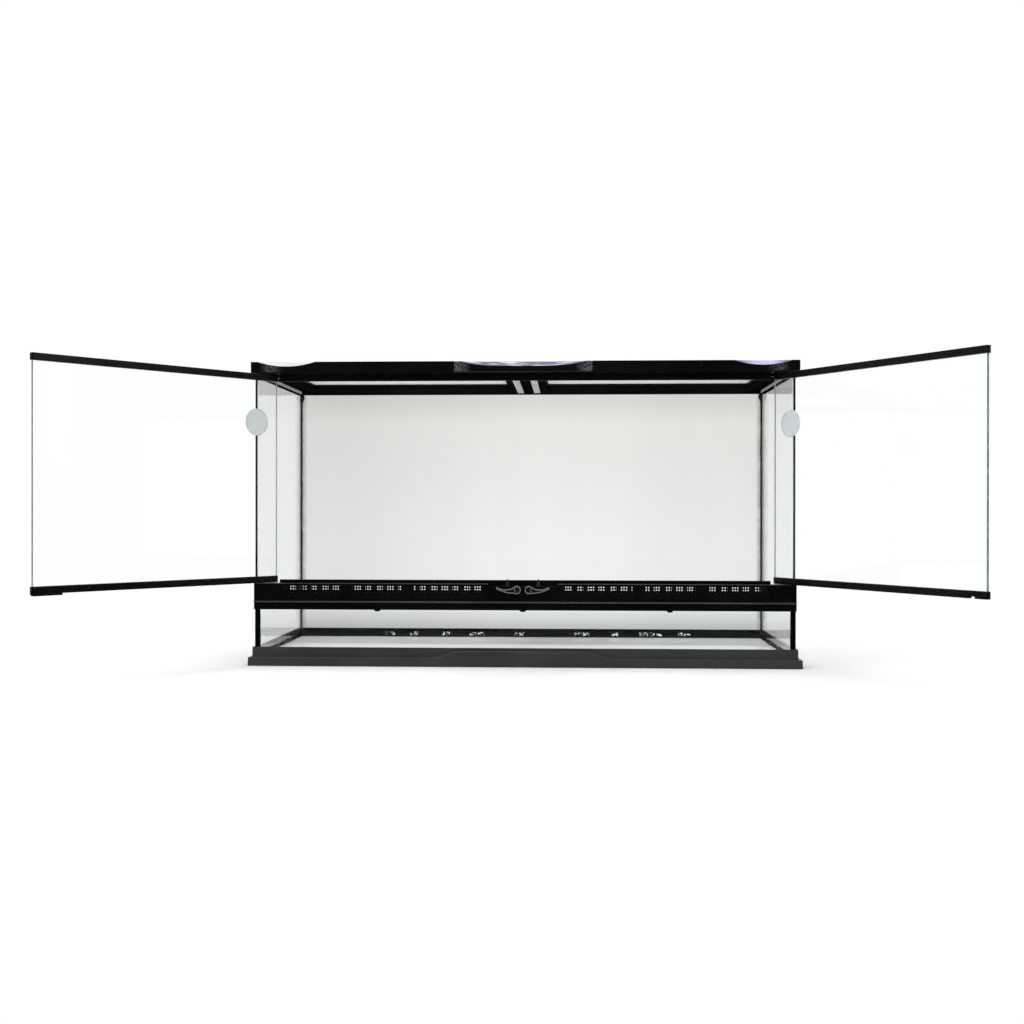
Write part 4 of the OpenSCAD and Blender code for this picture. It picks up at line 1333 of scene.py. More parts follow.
@dataclass
class GlassBox:
    """The panes of the cabinet and the silicone that joins them."""

    leg: float = 3.5
    seam_top: float = 483.5
    front_seam_top: float = 94.0
    # spans across the cabinet where the rear bead takes painted glints
    glint_spans: tuple[tuple[float, float], ...] = (
        (-280.0, -260.0),
        (-231.0, -216.0),
        (-169.0, -154.0),
        (-115.0, -86.0),
        (-28.0, -9.0),
        (87.0, 116.0),
        (158.0, 174.0),
        (212.0, 254.0),
        (285.0, 308.0),
    )

    def build_panes(self) -> None:
        """Builds the five panes with their ground edges."""
        s = SIZES
        x = s.in_w - s.gap
        panes = {
            "floor_pane": ((-x, -s.in_d + 1, s.shelf), (x, s.in_d - 1, s.floor_top), Axis.Z, FLOOR_CLEAR),
            "back_pane": ((-x, s.in_d, s.shelf), (x, s.half_d, s.pane_top), Axis.Y, BACK_CLEAR),
            "lower_front_pane": (
                (-x, -s.half_d, s.shelf),
                (x, -s.in_d, s.front_top),
                Axis.Y,
                FRONT_CLEAR,
            ),
            "right_pane": (
                (s.in_w, -s.half_d, s.shelf),
                (s.half_w, s.half_d, s.pane_top),
                Axis.X,
                CLEAR,
            ),
        }
        for name, (low, high, thin, finish) in panes.items():
            pane = slab(low, high, thin)
            finishes = [finish, SIDE_EDGE if thin is Axis.X else DARK_EDGE]
            make_piece(name + "_glass", pane, finishes, "cabinet", [name])
            if name == "right_pane":
                left = pane.mirrored()
                make_piece("left_pane_glass", left, finishes, "cabinet", ["left_pane"])

    def fillet(self, along: Array, leg: Array, pocket: Array) -> Array:
        """Section of a tooled bead in an inner corner, for each place along it.

        The free face is the curve (1-s)^2 A + 2 s (1-s) C + s^2 B, with A and B on the two
        panes at the leg's length and C drawn in towards the corner, which makes it hollow.

        Args:
            along: Places along the bead.
            leg: Length of the leg at each place.
            pocket: Depth of the joint behind the bead.

        Returns:
            Distance from each of the two panes, (places, points, 2).
        """
        s = np.linspace(0.0, 1.0, 9)[None, :, None]
        leg = np.broadcast_to(leg, along.shape)[:, None, None]
        a = np.concatenate([leg, 0 * leg], axis=2)
        b = np.concatenate([0 * leg, leg], axis=2)
        c = np.concatenate([leg, leg], axis=2) * 0.22
        face = (1 - s) ** 2 * a + 2 * s * (1 - s) * c + s**2 * b
        back = np.broadcast_to(-pocket[None], (len(along), *pocket.shape))
        return np.concatenate([face, back], axis=1)

    def build_seams(self) -> None:
        """Builds the upright seams and the bead round the floor."""
        s = SIZES
        uprights = []
        for place, seed in ((1, 3), (-1, 5)):
            low, high = s.shelf, self.seam_top if place > 0 else self.front_seam_top
            z = np.linspace(low, high, 90 if place > 0 else 24)
            leg = self.leg + ripple(z, seed, ((90, 0.15), (31, 0.12), (9, 0.06)))
            leg += 4.5 * np.exp(-(((z - 478.0) / 6.0) ** 2))
            pocket = np.array([[0.0, s.wall - 0.3], [s.gap, s.wall - 0.3], [s.gap, 0.0]])
            section = self.fillet(z, leg, pocket)
            # u runs in from the side pane, v in from the back or front pane
            x = s.in_w - section[..., 0]
            y = place * (s.in_d - section[..., 1])
            rings = np.stack([x, y, np.broadcast_to(z[:, None], x.shape)], axis=-1)
            side = skinned(rings)
            uprights += [side, side.mirrored()]
        make_piece(
            "upright_seams",
            joined(uprights),
            [SILICONE],
            "cabinet",
            ["corner_seams"],
            60.0,
        )
        beads = []
        joint = np.array([[0.0, s.floor_top - s.shelf], [s.gap, s.floor_top - s.shelf], [s.gap, 0]])
        x = np.linspace(-s.in_w, s.in_w, 420)
        for place, seed, base in ((1, 11, 9.0), (-1, 13, 3.2)):
            lumps = ripple(x, seed, ((210, 0.9), (61, 0.7), (17, 0.4), (5.3, 0.25)))
            section = self.fillet(x, base + lumps, joint)
            y = place * (s.in_d - section[..., 0])
            z = s.floor_top + section[..., 1]
            rings = np.stack([np.broadcast_to(x[:, None], y.shape), y, z], axis=-1)
            bead = skinned(rings)
            if place > 0:
                # quads within these spans take the finish with painted glints
                middle = bead.points[bead.quads][..., 0].mean(1)
                within = [(middle > low) & (middle < high) for low, high in self.glint_spans]
                bead.quad_slots = np.any(within, axis=0).astype(int)
            beads.append(bead)
        y = np.linspace(-s.in_d, s.in_d, 160)
        lumps = ripple(y, 17, ((130, 0.7), (43, 0.5), (11, 0.3)))
        section = self.fillet(y, 5.0 + lumps, joint)
        x = s.in_w - section[..., 0]
        z = s.floor_top + section[..., 1]
        rings = np.stack([x, np.broadcast_to(y[:, None], x.shape), z], axis=-1)
        side = skinned(rings)
        beads += [side, side.mirrored()]
        make_piece(
            "floor_bead",
            joined(beads),
            [BEADED, GLINT_SILICONE],
            "cabinet",
            ["floor_seam"],
            60.0,
        )


@dataclass
class VentStrip:
    """The strip under the doors with its two perforated plates and its clips."""

    face: float = -182.0
    plate: float = 1.5
    inner: float = 62.0
    outer: float = 406.0
    low: float = 112.0
    high: float = 136.0
    hole: float = 2.0
    pitch: float = 4.2
    top_row: float = 132.6
    rows: int = 5
    chamfer: float = 0.35
    runs: tuple[tuple[float, float], ...] = ((65.0, 117.0), (202.0, 84.0), (306.0, 97.0))
    clip_pitch: float = 243.0
    end: float = 450.0
    recess: float = 57.0

    def hole_columns(self) -> Array:
        """Middle of every column of holes, run by run."""
        columns = []
        for start, length in self.runs:
            count = int((length - self.hole) // self.pitch) + 1
            first = start + (length - (count - 1) * self.pitch) / 2
            columns.append(first + self.pitch * np.arange(count))
        return np.concatenate(columns)

    def perforated(self) -> Surface:
        """A plate with square holes, each with a chamfered front rim.

        Grid lines stand at the plate's edges, at each hole's edges and at each chamfer's
        outer edges. A cell is open if it lies inside a hole, and a point on the rim of a
        hole is set back by the chamfer. Walls join front and back wherever an open cell
        meets a solid one.

        Returns:
            The closed surface.
        """
        columns = self.hole_columns()
        levels = self.top_row - self.pitch * np.arange(self.rows)[::-1]
        reach = np.array([-self.hole / 2 - self.chamfer, -self.hole / 2])
        reach = np.concatenate([reach, -reach[::-1]])
        xs = np.concatenate([[self.inner], (columns[:, None] + reach).ravel(), [self.outer]])
        zs = np.concatenate([[self.low], (levels[:, None] + reach).ravel(), [self.high]])
        middle_x, middle_z = (xs[1:] + xs[:-1]) / 2, (zs[1:] + zs[:-1]) / 2
        half = self.hole / 2

        def inside(values: Array, centres: Array, grown: float) -> Array:
            """True where a value lies within a hole's half width of some centre."""
            return (np.abs(values[:, None] - centres) < half + grown).any(1)

        is_open = inside(middle_x, columns, 0)[:, None] & inside(middle_z, levels, 0)[None]
        rim = inside(xs, columns, 0.01)[:, None] & inside(zs, levels, 0.01)[None]
        nx, nz = len(xs), len(zs)
        grid_x, grid_z = np.meshgrid(xs, zs, indexing="ij")
        front = np.stack([grid_x, self.face + rim * self.chamfer, grid_z], axis=-1)
        back = np.stack([grid_x, np.full_like(grid_x, self.face + self.plate), grid_z], axis=-1)
        points = np.concatenate([front.reshape(-1, 3), back.reshape(-1, 3)])
        number = np.arange(nx * nz).reshape(nx, nz)
        a, b = number[:-1, :-1], number[1:, :-1]
        c, d = number[1:, 1:], number[:-1, 1:]
        solid = ~is_open
        behind = nx * nz
        faces = [
            np.stack([a, b, c, d], -1)[solid],
            np.stack([d, c, b, a], -1)[solid] + behind,
        ]
        padded = np.pad(solid, 1)
        for axis in (0, 1):
            for step in (0, 1):
                near = padded[1:-1, 1:-1]
                shift = [slice(1, -1), slice(1, -1)]
                shift[axis] = slice(2, None) if step else slice(0, -2)
                wall = near & ~padded[tuple(shift)]
                first, second = [(a, d), (b, c)][step] if axis == 0 else [(a, b), (d, c)][step]
                strip = np.stack([first, second, second + behind, first + behind], -1)[wall]
                faces.append(strip if (axis == 0) == (step == 0) else strip[:, ::-1])
        return Surface(points, np.concatenate(faces)).outward()

    def build(self) -> None:
        """Dresses the strip and builds its plates and clips."""
        dress_node("vent_strip", BLACK, 0.35)
        plate = self.perforated()
        for side in Side:
            make_piece(
                f"{side.word}_grille_plate",
                side.place(plate),
                [BLACK],
                "cabinet",
                [f"{side.word}_grille"],
            )
        # the bead and the lips take a lighter black, a painted highlight along them
        rows = np.array(
            [[-183.9, 105.9], [-183.7, 108.4], [-182.2, 109.2], [-181.2, 109.2], [-181.2, 105.9]]
        )
        trims = [prism(rounded(rows, 0.25), -self.end, self.end, Axis.X)]
        lip = prism(box_outline(-182.2, -181.0, 137.0, 138.1, 0.3), self.recess, self.end, Axis.X)
        trims += [lip, lip.mirrored()]
        make_piece("strip_trim", joined(trims), [TRIM_HIGHLIGHT], "cabinet")
        foot = 94.0
        hook = rounded(
            np.array([[-6.0, foot + 0.4], [-3.4, foot - 2.6], [3.4, foot - 2.6], [6.0, foot + 0.4]]),
            1.6,
            5,
        )
        clip = prism(hook, self.face, -176.3, Axis.Y, 0.5)
        clips = joined([clip.moved(x=i * self.clip_pitch) for i in (-1, 0, 1)])
        make_piece("foot_clips", clips, [BLACK], "cabinet", ["strip_clips"])


@dataclass
class TopFrame:
    """The frame over the panes, its front beam with the scoops, and the crossbar."""

    half_w: float = 456.0
    half_d: float = 182.0
    hole_w: float = 414.0
    hole_d: float = 146.0
    seat: float = 497.5
    seat_w: float = 10.0
    wall: float = 3.0
    lip_low: float = 476.5
    stop_half: float = 410.0
    side_scoop: float = 396.0
    side_half: float = 49.0
    mid_half: float = 105.0
    depth: float = 8.0
    tilt: float = 40.0
    pocket_half: float = 115.0
    pocket: float = 1.5
    corner: float = 1.4

    def scoop(self, x: Array) -> Array:
        """How far the front edge dips: a parabola at each side, a flatter dip in the middle."""
        side = 1 - ((np.abs(x) - self.side_scoop) / self.side_half) ** 2
        middle = 1 - np.abs(x / self.mid_half) ** 4
        return self.depth * np.maximum(np.maximum(side, middle), 0.0)

    def beam_sections(self, x: Array) -> Array:
        """Section of the front beam at each place across the cabinet.

        Args:
            x: Places across the cabinet.

        Returns:
            y and z of the section's corners, rounded, (places, points, 2).
        """
        s = SIZES
        dip = np.maximum(self.scoop(x), 0.03)
        set_back = np.where(np.abs(x) < self.pocket_half, self.pocket, 0.03)
        has_lip = np.abs(x) < self.stop_half
        lip = np.where(has_lip, self.lip_low, s.over - 0.05)
        heel = np.where(np.abs(x) < self.stop_half - 2, -164.5, -154.5)
        face = -self.half_d
        run = dip / math.tan(math.radians(self.tilt))
        back = np.minimum(face + set_back + run, -161.0)
        high = s.top - dip + (back - face - set_back) * math.tan(math.radians(self.tilt))
        one = np.ones_like(x)
        rows = [
            (face * one, s.over * one),
            (-167.5 * one, s.over * one),
            (-167.4 * one, lip),
            (-164.6 * one, lip),
            (heel + 0.05, s.over * one),
            (heel + 0.1, s.frame_low * one),
            (-self.hole_d * one, s.frame_low * one),
            (-self.hole_d * one, self.seat * one),
            (-156.0 * one, self.seat * one),
            (-156.0 * one, s.rim * one),
            (-160.5 * one, s.top * one),
            (back, np.minimum(high, s.top)),
            (face + set_back, s.top - dip),
            (face + set_back, (s.over + 2.6) * one),
            (face * one, (s.over + 2.0) * one),
        ]
        corners = np.stack([np.stack(row, axis=-1) for row in rows], axis=1)
        return rounded(corners, 0.8)

    def beam(self) -> Surface:
        """The front beam, its section carried from end to end."""
        steps = (self.pocket_half, self.stop_half, self.stop_half - 2)
        jumps = np.array([v + d for v in steps for d in (-0.02, 0.02)])
        half = np.concatenate(
            [
                np.linspace(0, self.mid_half, 33),
                np.linspace(self.side_scoop - self.side_half, self.side_scoop + self.side_half, 41),
                jumps,
                [self.half_w - 1.0],
            ]
        )
        x = np.unique(np.concatenate([-half, half]))
        sections = self.beam_sections(x)
        a = np.linspace(0.0, math.pi / 2, 4)[:-1]
        draw, along = 1.0 - np.sin(a), 1.0 - np.cos(a)
        first = np.array([inset(sections[0], 0.8 * d) for d in draw])
        last = np.array([inset(sections[-1], 0.8 * d) for d in draw[::-1]])
        x = np.concatenate([-self.half_w + along, x, self.half_w - along[::-1]])
        beam = skinned(carried(np.concatenate([first, sections, last]), x, Axis.X))
        middle = beam.points[beam.quads].mean(1)[:, 0]
        place = np.arange(len(beam.quads)) % sections.shape[1]
        reach = np.abs(middle)
        ends = (reach > self.pocket_half - 27) & (reach < self.pocket_half)
        ends |= (reach > 402.0) & (reach < 440.0)
        # slot 1: the scoop facets with their painted reflection
        beam.quad_slots = np.where((place == 47) & (self.scoop(middle) > 0.1), 1, 0)
        # slot 2: the smudges with a painted reflection, at the pocket's ends and beside the side scoops
        beam.quad_slots = np.where((place == 51) & ends, 2, beam.quad_slots)
        return beam

    def sides(self) -> Surface:
        """The two side beams and the back beam, one section carried round two corners."""
        s = SIZES
        groove_in, groove_out = 11.3, 5.7

        def stations(hole: float, out: float) -> Array:
            """Section at a beam whose hole edge and outer face stand at these places."""
            rows = [
                (hole, s.frame_low),
                (hole + self.wall, s.frame_low),
                (hole + self.wall, self.seat - self.wall),
                (out - groove_in - self.wall, self.seat - self.wall),
                (out - groove_in - self.wall, s.frame_low),
                (out - groove_in, s.frame_low),
                (out - groove_in, s.pane_top + 0.3),
                (out - groove_out, s.pane_top + 0.3),
                (out - groove_out, s.frame_low),
                (out, s.frame_low),
                (out, s.rim),
                (hole + self.seat_w, s.rim),
                (hole + self.seat_w, self.seat),
                (hole, self.seat),
            ]
            return rounded(np.array(rows), 0.8)

        across = stations(self.hole_w, self.half_w)
        deep = stations(self.hole_d, self.half_d)
        a = np.linspace(0.0, math.pi / 2, 4)
        draw_x, draw_y = self.corner * (1 - np.cos(a)), self.corner * (1 - np.sin(a))
        z = across[:, 1]
        x_s, y_s = across[:, 0], deep[:, 0]
        front = np.full_like(x_s, -self.hole_d - 0.5)
        rings = [np.stack([-x_s, front, z], -1)]
        rings += [np.stack([-x_s + dx, y_s - dy, z], -1) for dx, dy in zip(draw_x, draw_y[::1])]
        rings += [
            np.stack([x_s - dx, y_s - dy, z], -1) for dx, dy in zip(draw_x[::-1], draw_y[::-1])
        ]
        rings += [np.stack([x_s, front, z], -1)]
        beams = skinned(np.array(rings))
        corners = beams.points[beams.quads]
        middle = corners.mean(1)
        wall = self.half_w - groove_in - self.wall
        upright = np.ptp(np.abs(corners[..., 0]), axis=1) < 0.1
        hollow = upright & (np.abs(np.abs(middle[:, 0]) - wall) < 0.1)
        beams.quad_slots = np.where(hollow, 4, np.where(middle[:, 2] < 500.0, 3, 0))
        return beams

    def build(self) -> None:
        """Builds the frame, the crossbar and its strips, and dresses the bushes."""
        make_piece(
            "top_frame_shell",
            joined([self.beam(), self.sides()]),
            [BLACK, SCOOP, SMUDGED_REFLECTION, MATT_BLACK, RibbedHollow()],
            "cabinet",
            ["top_frame"],
            30.0,
        )
        self.build_crossbar()
        for node in ("upper_hinge_bushes", "lower_hinge_bushes"):
            dress_node(node, NATURAL)

    def build_crossbar(self) -> None:
        """Builds the crossbar with its ribs, and the two pale strips under it."""
        s = SIZES
        low = s.frame_low
        rows = [
            (-34, low),
            (-21.5, low),
            (-21.5, low + 1.5),
            (-9.5, low + 1.5),
            (-9.5, low),
            (-7.5, low),
            (-7.5, low + 1.5),
            (7.5, low + 1.5),
            (7.5, low),
            (9.5, low),
            (9.5, low + 1.5),
            (21.5, low + 1.5),
            (21.5, low),
            (34, low),
            (34, self.seat),
            (-34, self.seat),
        ]
        body = prism(rounded(np.array(rows, float), 0.4), -self.hole_d, self.hole_d, Axis.Y, 0.1)
        top = prism(
            box_outline(-24, 24, self.seat - 0.4, s.rim, 1.0), -155.7, 155.7, Axis.Y, 0.6
        )
        rib = prism(box_outline(-7.6, 7.6, low + 0.05, low + 2.0, 0.4), -3.0, 3.0, Axis.Y, 0.5)
        ribs = [rib.moved(y=y) for y in np.arange(-138, 139, 12.0)]
        make_piece(
            "crossbar_shell",
            joined([body, top, *ribs]),
            [MATT_BLACK],
            "cabinet",
            ["crossbar"],
        )
        strip = prism(
            box_outline(9.6, 21.4, low, low + 1.5, 0.3), -self.hole_d + 1, self.hole_d - 1, Axis.Y
        )
        make_piece(
            "crossbar_inlays",
            joined([strip, strip.mirrored()]),
            [STRIP_PALE],
            "cabinet",
            ["crossbar_strips"],
        )


@dataclass
class Door:
    """One swing door, worked out closed on the right and then opened on its side."""

    side: Side
    open_angle: float
    pivot_x: float = 426.0
    pivot_y: float = -172.0
    near: float = 0.75
    far: float = 442.0
    glass_near: float = 2.95
    glass_far: float = 440.0
    low: float = 138.6
    high: float = 487.4
    rail_h: float = 11.0
    rail_t: float = 8.0
    cap: float = 4.0
    pane_t: float = 4.0
    pad_r: float = 22.5
    pad_z: float = 402.5
    pad_in: float = 40.0
    notch_x: float = 28.5
    notch_w: float = 12.0

    def opened(self, surface: Surface) -> Surface:
        """Opens a closed right-hand surface and puts it on this door's side."""
        return self.side.place(surface.turned(self.pivot_x, self.pivot_y, self.open_angle))

    def rail(self, low: float, high: float, notched: bool) -> Surface:
        """A rail whose ends are round in plan.

        At a distance s from an end of radius r its half thickness is the rail's own times
        the square root of 1 - (1 - s/r)^2; inside the notch its underside is lifted.

        Args:
            low: Underside of the rail.
            high: Upper side.
            notched: True for the rail with the notch.

        Returns:
            The closed surface.
        """
        a = np.linspace(0.02, math.pi / 2, 9)
        nose, heel = 2.2, self.rail_t / 2
        start = self.near + nose * (1 - np.cos(a))
        end = self.far - heel * (1 - np.cos(a[::-1]))
        middle = [self.pivot_x - 30.0]
        if notched:
            cut = np.array([-1, -1, 1, 1]) * self.notch_w / 2 + np.array([-0.02, 0.02, -0.02, 0.02])
            middle = [*(self.notch_x + cut), *middle]
        stations = np.concatenate([start, middle, end])
        width = np.concatenate(
            [0.45 + 0.55 * np.sin(a), np.ones(len(middle)), np.sin(a[::-1])]
        )
        inside = notched & (np.abs(stations - self.notch_x) < self.notch_w / 2)
        base = np.where(inside, low + 2.8, low)
        half = width * self.rail_t / 2
        slim = np.concatenate([0.6 * (1 - np.sin(a)), np.zeros(len(middle)), np.zeros(len(a))])
        corners = np.stack(
            [
                np.stack([-half, base + slim], -1),
                np.stack([half, base + slim], -1),
                np.stack([half, high - slim], -1),
                np.stack([-half, high - slim], -1),
            ],
            axis=1,
        )
        corners[..., 0] += self.pivot_y
        return skinned(carried(rounded(corners, 0.9), stations, Axis.X))

    def build(self) -> None:
        """Builds the pane, the rails, the pad and the catch, and dresses the pins."""
        word, body = self.side.word, f"{self.side.word}_door"
        y0, y1 = self.pivot_y - self.pane_t / 2, self.pivot_y + self.pane_t / 2
        pane = slab(
            (self.glass_near, y0, self.low + self.cap),
            (self.glass_far, y1, self.high - self.cap),
            Axis.Y,
            2.0,
            0.5,
        )
        make_piece(
            f"{word}_door_glass",
            self.opened(pane),
            [DOOR_CLEAR, PALE_EDGE],
            body,
            [f"{word}_door_pane"],
        )
        rails = {
            "bottom": (self.low, self.low + self.rail_h, self.side is Side.RIGHT),
            "top": (self.high - self.rail_h, self.high, False),
        }
        for place, (low, high, notched) in rails.items():
            make_piece(
                f"{word}_door_{place}_bar",
                self.opened(self.rail(low, high, notched)),
                [BLACK],
                body,
                [f"{word}_door_{place}_rail"],
            )
        edge = np.linspace(0, math.pi / 2, 5)
        skin, back = 1.2, 0.05
        radius = np.concatenate(
            [[0, self.pad_r - 0.2, self.pad_r], self.pad_r - 0.6 * (1 - np.cos(edge)), [20.4, 19, 0]]
        )
        height = np.concatenate(
            [[back, back, 0.2], skin - 0.6 + 0.6 * np.sin(edge), [skin, skin - 0.25, skin - 0.25]]
        )
        pad = revolved(np.stack([radius, height], -1), 64)
        centre = (self.glass_far - self.pad_in, y1, self.pad_z)
        pad = pointed(pad, Axis.Y, (0, 0, 0))
        reach = np.linalg.norm(pad.points[:, [0, 2]], axis=1)
        pad = Surface(
            pad.points * np.array([1, -1, 1]) + np.array(centre), pad.quads, pad.caps
        ).outward()
        # marks the rim, where the pad darkens and takes painted glints
        pad.marks = np.clip((reach - 18.5) / 3.5, 0.0, 1.0)
        make_piece(
            f"{word}_pad_disc",
            self.opened(pad),
            [PAD],
            body,
            [f"{word}_door_pad"],
        )
        dress_node(f"{word}_hinge_pins", STEEL)
        if self.side is Side.LEFT:
            self.build_catch()

    def build_catch(self) -> None:
        """Builds the block under the free end of the left door."""
        low, drop, length = self.low, 3.0, 48.0
        rows = [
            (self.near + drop, low - drop),
            (self.near + length, low - drop),
            (self.near + length, low + 0.3),
            (self.near, low + 0.3),
        ]
        block = prism(
            rounded(np.array(rows), 0.6), self.pivot_y - 4.0, self.pivot_y + 4.0, Axis.Y, 0.6
        )
        make_piece(
            "left_catch_block",
            self.opened(block),
            [BLACK],
            "left_door",
            ["left_door_catch"],
        )


@dataclass
class Latch:
    """One latch: the lever on the strip's face, the hook behind it and their screw."""

    side: Side
    hub_x: float = 10.0
    hub_z: float = 128.0
    face: float = -182.4
    thick: float = 3.5
    head: float = 6.8
    length: float = 32.5

    def outline(self) -> Array:
        """The lever's outline: a round head, and a tail that sags and lifts to its tip.

        The tail's middle is h (-0.3 + 2 (t-0.42)^2) and its half width is
        h (0.28 + 0.68 (1-t)^2.2), with h the head's radius and t running from hub to tip. Only
        what lies outside the head is used, and the head's arc closes the outline.

        Returns:
            Counter-clockwise outline about the hub, (points, 2).
        """
        t = np.linspace(0.1, 1.0, 46)
        middle = self.head * (-0.3 + 2 * (t - 0.42) ** 2)
        half = self.head * (0.28 + 0.68 * (1 - t) ** 2.2)
        slope = np.gradient(middle, self.length * t)
        normal = np.stack([-slope, np.ones_like(t)], -1) / np.sqrt(1 + slope**2)[:, None]
        spine = np.stack([self.length * t, middle], -1)
        upper, lower = spine + normal * half[:, None], spine - normal * half[:, None]
        upper = upper[np.linalg.norm(upper, axis=1) > self.head + 0.05]
        lower = lower[np.linalg.norm(lower, axis=1) > self.head + 0.05]
        start = math.atan2(upper[0, 1], upper[0, 0])
        end = math.atan2(lower[0, 1], lower[0, 0]) + 2 * math.pi
        arc = np.linspace(start, end, 40)[1:-1]
        head = self.head * np.stack([np.cos(arc), np.sin(arc)], -1)
        a = np.linspace(0, math.pi, 9)[1:-1]
        heading = math.atan(slope[-1])
        tip = half[-1] * np.stack(
            [np.cos(a - math.pi / 2 + heading), np.sin(a - math.pi / 2 + heading)], -1
        )
        return np.concatenate([lower, spine[-1] + tip, upper[::-1], head])

    def lever(self) -> Surface:
        """The lever with a raised rim, a sunk field and a ring round its head; the rim and the ring carry a painted
        highlight.
        """
        outline = self.outline()
        draws = [0.0, 0.0, 0.12, 0.35, 1.3, 1.55, 1.7]
        levels = [0.0, 2.9, 3.3, 3.5, 3.5, 3.3, 2.8]
        rings = [inset(outline, d) for d in draws]
        plate = skinned(carried(np.array(rings), np.array(levels), Axis.Y))
        # marks: the painted highlight along the rim
        plate.marks = np.repeat([0.0, 0.4, 1.0, 1.0, 1.0, 0.4, 0.0], len(outline))
        t = np.linspace(0, math.pi, 9)
        bead = np.stack([4.1 + 0.55 * np.cos(t), 2.8 + 0.7 * np.sin(t)], -1)
        profile = np.concatenate([[[0.0, 2.0]], [[4.65, 2.0]], bead, [[2.6, 2.75], [0.0, 2.95]]])
        ring = pointed(revolved(profile, 40), Axis.Y, (0, 0, 0))
        # marks: the painted highlight on the ring round the head
        ring.marks = np.clip(ring.points[:, 0] / 4.3, 0.0, 1.0) ** 2
        hub = pointed(
            revolved(np.array([[0, -3.4], [3.3, -3.4], [3.5, -3.2], [3.5, 0.5], [0, 0.5]]), 40),
            Axis.Y,
            (0, 0, 0),
        )
        return joined([plate, ring, hub]).moved(self.hub_x, self.face, self.hub_z)

    def build(self) -> None:
        """Builds the lever and dresses the hook and the screw."""
        word, body = self.side.word, f"{self.side.word}_latch"
        make_piece(
            f"{word}_lever",
            self.side.place(self.lever()),
            [LEVER_BLACK],
            body,
            [f"{word}_latch_lever"],
            40.0,
        )
        dress_node(f"{word}_latch_hook", HOOK_BLACK, 0.3)
        dress_node(f"{word}_latch_screw", STEEL)


@dataclass
class ScreenLid:
    """One lift-out lid: a frame that grips a fine wire mesh."""

    side: Side
    near: float = 24.5
    far: float = 423.5
    deep: float = 155.5
    low: float = 497.5
    high: float = 503.5
    bar: float = 12.0
    wire: float = 0.25
    pitch: float = 3.0

    def frame(self) -> Surface:
        """The frame: one section carried round a rectangle with mitred, eased corners."""
        bar = self.bar
        rows = [(0, self.low), (0, self.high), (-bar, self.high), (-bar, self.low)]
        section = rounded(np.array(rows, float), 1.0)
        a = np.linspace(0.0, math.pi / 2, 4)
        draw_x, draw_y = 1.2 * (1 - np.cos(a)), 1.2 * (1 - np.sin(a))
        middle, half = (self.near + self.far) / 2, (self.far - self.near) / 2
        rings = []
        for sx, sy in ((-1, -1), (1, -1), (1, 1), (-1, 1)):
            order = slice(None) if sx * sy > 0 else slice(None, None, -1)
            for dx, dy in zip(draw_x[order], draw_y[order]):
                x = middle + sx * (half + section[:, 0] - dx)
                y = sy * (self.deep + section[:, 0] - dy)
                rings.append(np.stack([x, y, section[:, 1]], -1))
        return skinned(np.array(rings), closed=True)

    def mesh(self) -> Surface:
        """The wires, each a four-sided bar, in two layers that touch."""
        x0, x1 = self.near + self.bar - 4, self.far - self.bar + 4
        y1 = self.deep - self.bar + 4
        level, half = (self.low + self.high) / 2 + 0.5, self.wire / 2

        def bars(centres: Array, along: tuple[float, float], lengthways: bool, z: float) -> Surface:
            """Straight wires side by side, at one height."""
            turn = (np.arange(4) + 0.5) * math.pi / 2
            ring = half * math.sqrt(2) * np.stack([np.cos(turn), np.sin(turn)], -1)
            across = centres[:, None, None] + ring[None, None, :, 0]
            across = np.broadcast_to(across, (len(centres), 2, 4))
            run = np.broadcast_to(np.array(along)[None, :, None], across.shape)
            height = np.broadcast_to(z + ring[:, 1], across.shape)
            order = (run, across, height) if lengthways else (across, run, height)
            points = np.stack(order, -1).reshape(-1, 3)
            one = ring_quads(2, 4, False)
            ends = np.array([[3, 2, 1, 0], [4, 5, 6, 7]])
            faces = np.concatenate([one, ends])
            quads = (faces[None] + 8 * np.arange(len(centres))[:, None, None]).reshape(-1, 4)
            return Surface(points, quads).outward()

        lines_y = np.arange(-y1 + 1, y1 - 1, self.pitch)
        lines_x = np.arange(x0 + 1, x1 - 1, self.pitch)
        return joined(
            [
                bars(lines_y, (x0, x1), True, level - half),
                bars(lines_x, (-y1, y1), False, level + half),
            ]
        )

    def build(self) -> None:
        """Builds the frame and the mesh."""
        word, body = self.side.word, f"{self.side.word}_screen"
        make_piece(
            f"{word}_lid_frame",
            self.side.place(self.frame()),
            [SCREEN_BLACK],
            body,
            [f"{word}_screen_frame"],
        )
        make_piece(
            f"{word}_lid_mesh",
            self.side.place(self.mesh()),
            [WIRE],
            body,
            [f"{word}_screen_mesh"],
        )


# ------------------------------------------------------------------ studio


